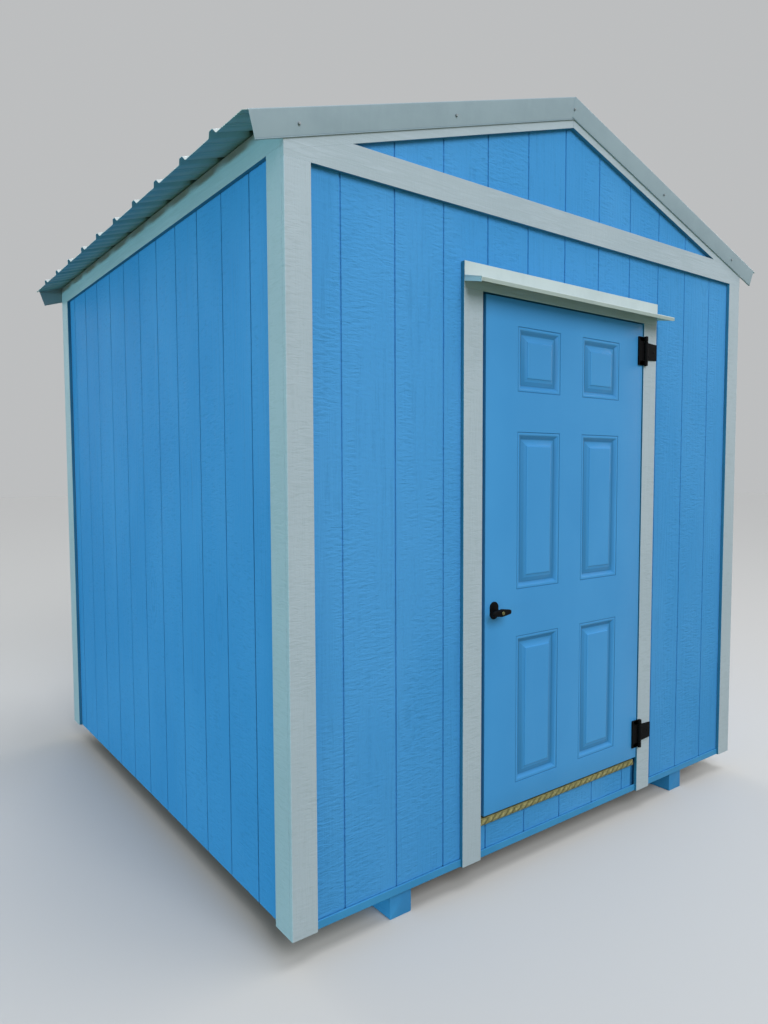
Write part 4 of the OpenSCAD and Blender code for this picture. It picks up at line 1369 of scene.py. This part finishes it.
def panelDoor():
    # the same face on both sides, joined by a rim that rounds both edges
    look = doorLook
    low, high = cornersOf("door_slab")
    ease, stile, midStile = look["ease"], look["stile"], look["midStile"]
    panel = (high[0] - low[0] - 2 * stile - midStile) / 2
    columns = low[0] + np.cumsum([ease, stile - ease, panel, midStile, panel, stile - ease])
    rails, heights = look["rails"], look["lowPanels"]
    topPanel = high[2] - low[2] - sum(rails) - sum(heights)
    steps = [ease, rails[0] - ease, heights[0], rails[1], heights[1], rails[2], topPanel, rails[3] - ease]
    rows = low[2] + np.cumsum(steps)
    for lines in (columns, rows):
        lines[1:-1:2] -= look["spread"]
        lines[2:-1:2] += look["spread"]
    inward, deep, dark = np.array(look["moulding"]).T * [[mm], [mm], [1]]
    points, faces = doorFace(columns, rows, inward, deep)
    front, back = points + [0, low[1], 0], points * [1, -1, 1] + [0, high[1], 0]
    lines = np.stack(np.meshgrid(columns, rows), -1)
    loop = lines.reshape(-1, 2)[rimOf(len(rows), len(columns))]
    out = np.isclose(loop, lines[-1, -1]) * 1.0 - np.isclose(loop, lines[0, 0])
    turn = np.linspace(0, pi / 2, shellLook["arc"])
    grow = ease * np.concatenate([np.sin(turn), np.sin(turn[::-1])])
    y = np.concatenate([low[1] + ease * (1 - np.cos(turn)), high[1] - ease * (1 - np.cos(turn[::-1]))])
    rimX, rimZ = np.moveaxis(loop + grow[:, None, None] * out, -1, 0)
    rim = gridded(rimX, y[:, None], rimZ).reshape(-1, 3)
    rimShell = (rim, [gridQuads(len(grow), len(loop), True)[:, ::-1]])
    shell = joined([(front, faces), (back, [group[:, ::-1] for group in faces]), rimShell])
    shell = outward(*welded(*shell))

    def insidePanels(points):
        # distance in from the nearest panel's upright edges and from its level edges
        x, z = points[:, 0], points[:, 2]
        fromSide = np.max([np.minimum(x - a, b - x) for a, b in zip(columns[1:-1:2], columns[2:-1:2])], 0)
        fromEnd = np.max([np.minimum(z - a, b - z) for a, b in zip(rows[1:-1:2], rows[2:-1:2])], 0)
        return fromSide, fromEnd

    x, y, z = shell[0].T
    depth = np.minimum(y - low[1], high[1] - y)
    fromSide, fromEnd = insidePanels(shell[0])
    # painted shade in the mouldings' creases
    crease = np.interp(np.minimum(fromSide, fromEnd), inward, dark)
    rail = (x > columns[1] - mm) & (x < columns[-2] + mm) & (fromEnd < mm) & (depth < mm)
    middles, normals = facesOf(shell)
    faceIn = np.min(insidePanels(middles), 0)
    isUpright, isUnder = np.abs(normals[:, 0]) > look["tilt"], normals[:, 2] < -look["tilt"]
    # painted shade on the upright and lower bevels
    bevel = np.zeros(len(middles))
    for start, end, (upright, under) in zip(look["bevel"], look["bevel"][1:], look["bevelShade"]):
        bevel += ((faceIn > start) & (faceIn < end)) * (upright * isUpright + under * isUnder)
    addPiece("door_slab_panelled", shell, [doorFinish], "door", ["door_slab"],
             marks={"creaseShade": crease, "railShare": rail, "bevelShade": bevel}, sharp=look["sharp"])


panelDoor()
print("door made")


# Hinges

hingeLook = {
    "barrel": 16 * mm, "height": 118 * mm, "knuckle": 76 * mm, "knuckleGap": 1.0 * mm,
    "chamfer": 1.2 * mm,
    "tip": 66 * mm,  # height of the casing leaf at its far end
    "plateEase": 1.4 * mm, "plateThick": 7 * mm, "leafThick": 4 * mm,
    "strap": (6 * mm, 1.2 * mm, 1.0 * mm),  # inset from the plate, gap to the casing, play above and below
    "pinCap": 3.0 * mm, "capSink": 0.2 * mm,
    "capShape": ((0, 0.98), (0.5, 0.9), (1, 0.45)),  # shares of the cap's height and the barrel's radius
    "screw": 4.2 * mm, "screwDome": 0.45,
    "screwRings": (0.08, 6),  # least ring, as a share, and the number of rings
    "plateScrews": ((-22 * mm, -40 * mm), (-22 * mm, 0), (-22 * mm, 40 * mm)),  # from the door's edge
    "leafScrews": ((26 * mm, 20 * mm), (26 * mm, -20 * mm), (62 * mm, 0)),  # from the hinge's axis
    "sides": {"knuckle": 36, "cap": 28, "screw": 20},
}
hingeAxis = next(joint["pos_m"] for joint in frame["joints"] if joint["name"] == "door_swing")


def knuckle(low, high, look):
    # short barrel along the hinge's axis, its two rims chamfered
    radius, cut = look["barrel"] / 2, look["chamfer"]
    stations = [(low, radius - cut), (low + cut, radius), (high - cut, radius), (high, radius - cut)]
    return placedAt(turned(stations, look["sides"]["knuckle"]), (hingeAxis[0], hingeAxis[1], 0), (0, 0, 1))


def domedScrews(x, y, z, places, look):
    # low domes facing the front: height falls with the square of the distance from the middle
    least, count = look["screwRings"]
    share = np.linspace(1, least, count)
    shape = np.stack([look["screwDome"] * (1 - share ** 2), share], 1)
    spots = [(x + right, y, z + up) for right, up in places]
    return placedAt(lathed(shape, look["screw"], look["screw"], look["sides"]["screw"]), spots, (0, -1, 0))


def hinges():
    # on the door a plate, two end knuckles with straps and pin caps; on the casing a middle knuckle and
    # a leaf that tapers evenly from the knuckle's height to the tip's
    look = hingeLook
    plateLow, plateHigh = cornersOf("hinge_door_leaves")
    leafEnd = cornersOf("hinge_casing_leaves")[1][0]
    slabLow, slabHigh = cornersOf("door_slab")
    casingY = cornersOf("door_casings")[0][1]
    axisX, axisY = hingeAxis[:2]
    doorY, doorRight = slabLow[1], slabHigh[0]
    plateY, leafY = doorY - look["plateThick"], casingY - look["leafThick"]
    strapIn, strapGap, play = look["strap"]
    half, halfHeight = look["knuckle"] / 2, look["height"] / 2
    cheek = (look["height"] - look["knuckle"]) / 2 - look["knuckleGap"]
    cap = lathed(look["capShape"], look["pinCap"], look["barrel"] / 2, look["sides"]["cap"])
    onDoor, onCasing = [], []
    for z in (plateLow[2] + halfHeight, plateHigh[2] - halfHeight):
        low, high = z - halfHeight, z + halfHeight
        onDoor.append(board((plateLow[0], plateY, low), (doorRight, doorY, high), look["plateEase"]))
        for start in (low, high - cheek):
            onDoor.append(knuckle(start, start + cheek, look))
            onDoor.append(board((plateLow[0] + strapIn, leafY, start + play),
                                (axisX, casingY - strapGap, start + cheek - play), play))
        onDoor.append(placedAt(cap, (axisX, axisY, high - look["capSink"]), (0, 0, 1)))
        onDoor.append(placedAt(cap, (axisX, axisY, low + look["capSink"]), (0, 0, -1)))
        onDoor.append(domedScrews(doorRight, plateY, z, look["plateScrews"], look))
        onCasing.append(knuckle(z - half, z + half, look))
        points, faces = board((axisX, leafY, z - half), (leafEnd, casingY, z + half), look["plateEase"])
        share = (points[:, 0] - axisX) / (leafEnd - axisX)
        points[:, 2] = z + (points[:, 2] - z) * (1 + share * (look["tip"] / look["knuckle"] - 1))
        onCasing.append((points, faces))
        onCasing.append(domedScrews(axisX, leafY, z, look["leafScrews"], look))
    leaves = (("hinge_door_leaves", "door", onDoor), ("hinge_casing_leaves", "shed", onCasing))
    for node, body, shells in leaves:
        addPiece(node + "_forged", joined(shells), [blackFinish], body, [node])


hinges()


# Handle: oval plates, a tapered bar on a stem and the key cylinder

handleLook = {
    "barHalf": 46 * mm, "hubHalf": 14 * mm, "tipHalf": 7.5 * mm, "barDeep": 8 * mm,
    "tipDeep": 6 * mm,
    "round": 7 * mm,  # length over which the tips close
    "roundShare": 0.97,  # how nearly they close
    "square": 3.0,  # 2 is an ellipse, more is squarer
    "barGrid": (45, 36),
    "barSpan": 0.985,  # share of the half turn that spaces the bar's stations
    "plateWide": 42 * mm, "plateTall": 63 * mm, "plateThick": 5 * mm, "plateRise": 3.5 * mm,
    "plateEdge": (0.55, 0.45, 0.40),  # inset, start and rise of the rounded edge, in thicknesses
    "plateDome": ((0.5, 0.95), (0.8, 1.0)),  # shares of the radius in and of the thickness up
    "plateGrid": (6, 48),
    "stem": 11 * mm, "turn": 18 * mm, "turnThick": 14 * mm, "turnGap": 0.5 * mm,
    # shares along and of the radius
    "stemShape": ((0, 0.95), (0.25, 0.92), (0.55, 0.80), (0.80, 0.86), (1, 1)),
    "turnShape": ((0, 0.80), (0.15, 0.98), (0.5, 1), (0.85, 0.95), (0.97, 0.82), (1, 0.6)),
    "grip": (3.5 * mm, 3 * mm, 0.9, 1.5 * mm),  # half width, stand-off, share of the radius, rounding
    "sides": (36, 40),  # of the stem and of the inner turn
}
keyFaceLook = {
    "radius": 6.5 * mm,
    "rim": ((1.0, -6 * mm), (1.0, 0.9 * mm), (0.92, 1.4 * mm)),  # shares of the radius and heights
    "face": (0.86, 0.04, 22),  # outer and inner share of the face's rings, and their number
    "slot": (0.75 * mm, 3.6 * mm, 1.2 * mm),  # half width, half height and depth
    "sides": 64, "sharp": 30,
}


def ovalPlate(centre, y, out, look):
    # stadium outline shrinking towards the front over a quarter circle, then a low dome
    thick, radius = look["plateThick"], look["plateWide"] / 2
    straight = look["plateTall"] / 2 - radius
    arc, count = look["plateGrid"]
    angle = np.linspace(0, 2 * pi, count, endpoint=False) + pi / count
    turn = np.linspace(0, pi / 2, arc)
    edgeIn, edgeStart, edgeRise = look["plateEdge"]
    domeIn, domeUp = np.array(look["plateDome"]).T
    inset = np.concatenate([[0], edgeIn * thick * (1 - np.cos(turn)), domeIn * radius])[:, None]
    lift = np.concatenate([[0], thick * (edgeStart + edgeRise * np.sin(turn)), domeUp * thick])[:, None]
    x = centre[0] + (radius - inset) * np.cos(angle)
    z = centre[2] + (radius - inset) * np.sin(angle) + straight * np.sign(np.sin(angle))
    return carried(gridded(x, y + out * lift, z))


def barSurface(centre, y, look):
    # squared-off ellipse carried along X: its half height and depth taper to the tips and close there
    length, count = look["barGrid"]
    along = look["barHalf"] * np.sin(np.linspace(-pi / 2, pi / 2, length) * look["barSpan"])[:, None]
    share = np.abs(along) / look["barHalf"]
    close = np.clip((np.abs(along) - look["barHalf"] + look["round"]) / look["round"], 0, 1)
    shut = np.sqrt(1 - look["roundShare"] * close ** 2)
    tall = (look["hubHalf"] + (look["tipHalf"] - look["hubHalf"]) * share) * shut
    deep = (look["barDeep"] + (look["tipDeep"] - look["barDeep"]) * share) * shut
    angle = np.arange(count) * 2 * pi / count
    power = 2 / look["square"]
    c = np.sign(np.cos(angle)) * np.abs(np.cos(angle)) ** power
    s = np.sign(np.sin(angle)) * np.abs(np.sin(angle)) ** power
    return carried(gridded(centre[0] + along, y + deep * c, centre[2] + tall * s))


def keyFace(look):
    # turned plug; the front is a polar grid pushed in along the key slot
    outer, inner, rings = look["face"]
    rimShare, rimHeight = np.array(look["rim"]).T
    r = np.concatenate([rimShare, np.linspace(outer, inner, rings)])[:, None] * look["radius"]
    height = np.append(rimHeight, np.full(rings, rimHeight[-1]))[:, None]
    angle = np.arange(look["sides"]) * 2 * pi / look["sides"]
    x, y = r * np.cos(angle), r * np.sin(angle)
    halfWide, halfTall, deep = look["slot"]
    slot = (np.abs(x) < halfWide) & (np.abs(y) < halfTall)
    return carried(gridded(x, y, height - deep * slot))


def handle():
    # a plate on each face of the door; the bar, its stem and the inner turn on one axis through the key
    look = handleLook
    slabLow, slabHigh = cornersOf("door_slab")
    barFront = cornersOf("t_handle")[0][1]
    centre = np.mean(cornersOf("key_cylinder"), 0)
    plateMiddle = centre + [0, 0, look["plateRise"]]
    plates = [ovalPlate(plateMiddle, slabLow[1], -1, look), ovalPlate(plateMiddle, slabHigh[1], 1, look)]
    addPiece("handle_roses_domed", joined(plates), [blackFinish], "door", ["handle_roses"])
    barY = barFront + look["barDeep"]
    stemSides, turnSides = look["sides"]
    stem = lathed(look["stemShape"], slabLow[1] - barY, look["stem"], stemSides)
    base = slabHigh[1] + look["plateThick"] + look["turnGap"]
    thick, radius = look["turnThick"], look["turn"]
    inner = lathed(look["turnShape"], thick, radius, turnSides)
    gripHalf, standOff, gripShare, gripEdge = look["grip"]
    grip = board((centre[0] - gripHalf, base + 0.5 * thick, centre[2] - gripShare * radius),
                 (centre[0] + gripHalf, base + thick + standOff, centre[2] + gripShare * radius), gripEdge)
    shells = [barSurface(centre, barY, look), placedAt(stem, (centre[0], barY, centre[2]), (0, 1, 0)),
              placedAt(inner, (centre[0], base, centre[2]), (0, 1, 0)), grip]
    addPiece("t_handle_cast", joined(shells), [blackFinish], "handle", ["t_handle"])
    key = placedAt(keyFace(keyFaceLook), (centre[0], barFront, centre[2]), (0, -1, 0))
    addPiece("key_cylinder_turned", key, [keyFinish], "handle", ["key_cylinder"],
             sharp=keyFaceLook["sharp"])


handle()
print("hinges and handle made")


# Floor, world and lamps

studioLook = {
    "floorSize": 90.0, "floorPale": (0.54, 0.54, 0.54), "floorBounce": (0.21, 0.24, 0.125),
    "backdrop": (0.506, 0.515, 0.521), "sky": (0.95, 0.985, 1.0), "skyStrength": 0.40,
    # distant lamps: where the light comes from, strength, size in degrees and colour
    "suns": {
        "highLamp": ((0.20, -0.22, 1.0), 0.85, 25.0, (1.0, 1.0, 1.0)),
        "rightLamp": ((1.0, 0.20, 0.27), 1.5, 50.0, (1.0, 1.0, 1.0)),
        "backLamp": ((0.1, 1.0, 0.35), 1.5, 50.0, (1.0, 1.0, 1.0)),
    },
    # soft boxes, above the camera and low on the left: place, point faced, width, height, power and colour
    "softBoxes": {
        "frontBox": ((-1.5, -11.0, 8.5), (0.0, -1.2, 1.3), 7.0, 7.0, 1025.0, (1.0, 1.0, 1.0)),
        "leftBox": ((-20.0, -0.8, 1.0), (-1.2, 0.0, 1.5), 12.0, 1.9, 1800.0, (0.37, 0.89, 1.0)),
    },
}


def paleToEye(tree, bounce, pale, target):
    # the pale shader for rays from the camera, gloss or glass, the other for light that bounces
    path = addNode(tree, "ShaderNodeLightPath").outputs
    share = path["Is Camera Ray"]
    for name in ("Is Glossy Ray", "Is Transmission Ray"):
        share = addNode(tree, "ShaderNodeMath", {0: share, 1: path[name]}, operation="MAXIMUM").outputs[0]
    mix = addNode(tree, "ShaderNodeMixShader", {0: share, 1: bounce.outputs[0], 2: pale.outputs[0]})
    put(tree, tree.nodes[target].inputs["Surface"], mix.outputs[0])


def addFloor(look):
    # one large square, pale to the eye and duller for the light that it throws back
    half = look["floorSize"] / 2
    corners = [(-half, -half, 0), (half, -half, 0), (half, half, 0), (-half, half, 0)]
    mesh = bpy.data.meshes.new("studioFloor")
    mesh.from_pydata(corners, [], [(0, 1, 2, 3)])
    floor = bpy.data.objects.new("studioFloor", mesh)
    scene.collection.objects.link(floor)
    material = bpy.data.materials.new("studioFloor")
    material.use_nodes = True
    tree = material.node_tree
    tree.nodes.remove(tree.nodes["Principled BSDF"])
    bounce = addNode(tree, "ShaderNodeBsdfDiffuse", {"Color": look["floorBounce"]})
    pale = addNode(tree, "ShaderNodeBsdfDiffuse", {"Color": look["floorPale"]})
    paleToEye(tree, bounce, pale, "Material Output")
    mesh.materials.append(material)
    floor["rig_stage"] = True


def addWorld(look):
    # a plain backdrop to the eye, and an even sky that lights the object
    world = bpy.data.worlds.new("studio")
    world.use_nodes = True
    tree = world.node_tree
    light = tree.nodes["Background"]
    put(tree, light.inputs["Color"], look["sky"])
    put(tree, light.inputs["Strength"], look["skyStrength"])
    pale = addNode(tree, "ShaderNodeBackground", {"Color": look["backdrop"]})
    paleToEye(tree, light, pale, "World Output")
    scene.world = world


def addLamp(name, kind, back, power, colour, place=(0, 0, 0), **settings):
    # lamp that shines against the given direction, unseen by the camera
    data = bpy.data.lights.new(name, kind)
    data.energy = power
    data.color = colour
    for setting, value in settings.items():
        setattr(data, setting, value)
    lamp = bpy.data.objects.new(name, data)
    lamp.visible_camera = False
    lamp.location = place
    lamp.rotation_mode = "QUATERNION"
    lamp.rotation_quaternion = Vector(back).to_track_quat("Z", "Y")
    scene.collection.objects.link(lamp)


addFloor(studioLook)
addWorld(studioLook)
for lampName, (source, strength, size, colour) in studioLook["suns"].items():
    addLamp(lampName, "SUN", source, strength, colour, angle=radians(size))
for lampName, (place, target, width, height, power, colour) in studioLook["softBoxes"].items():
    back = Vector(place) - Vector(target)
    addLamp(lampName, "AREA", back, power, colour, place, shape="RECTANGLE", size=width, size_y=height)
scene.view_settings.view_transform = "Standard"
print("studio set")

added = sum(sum(len(p.vertices) - 2 for p in o.data.polygons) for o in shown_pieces() if "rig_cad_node" not in o)
print("added triangles:", added)
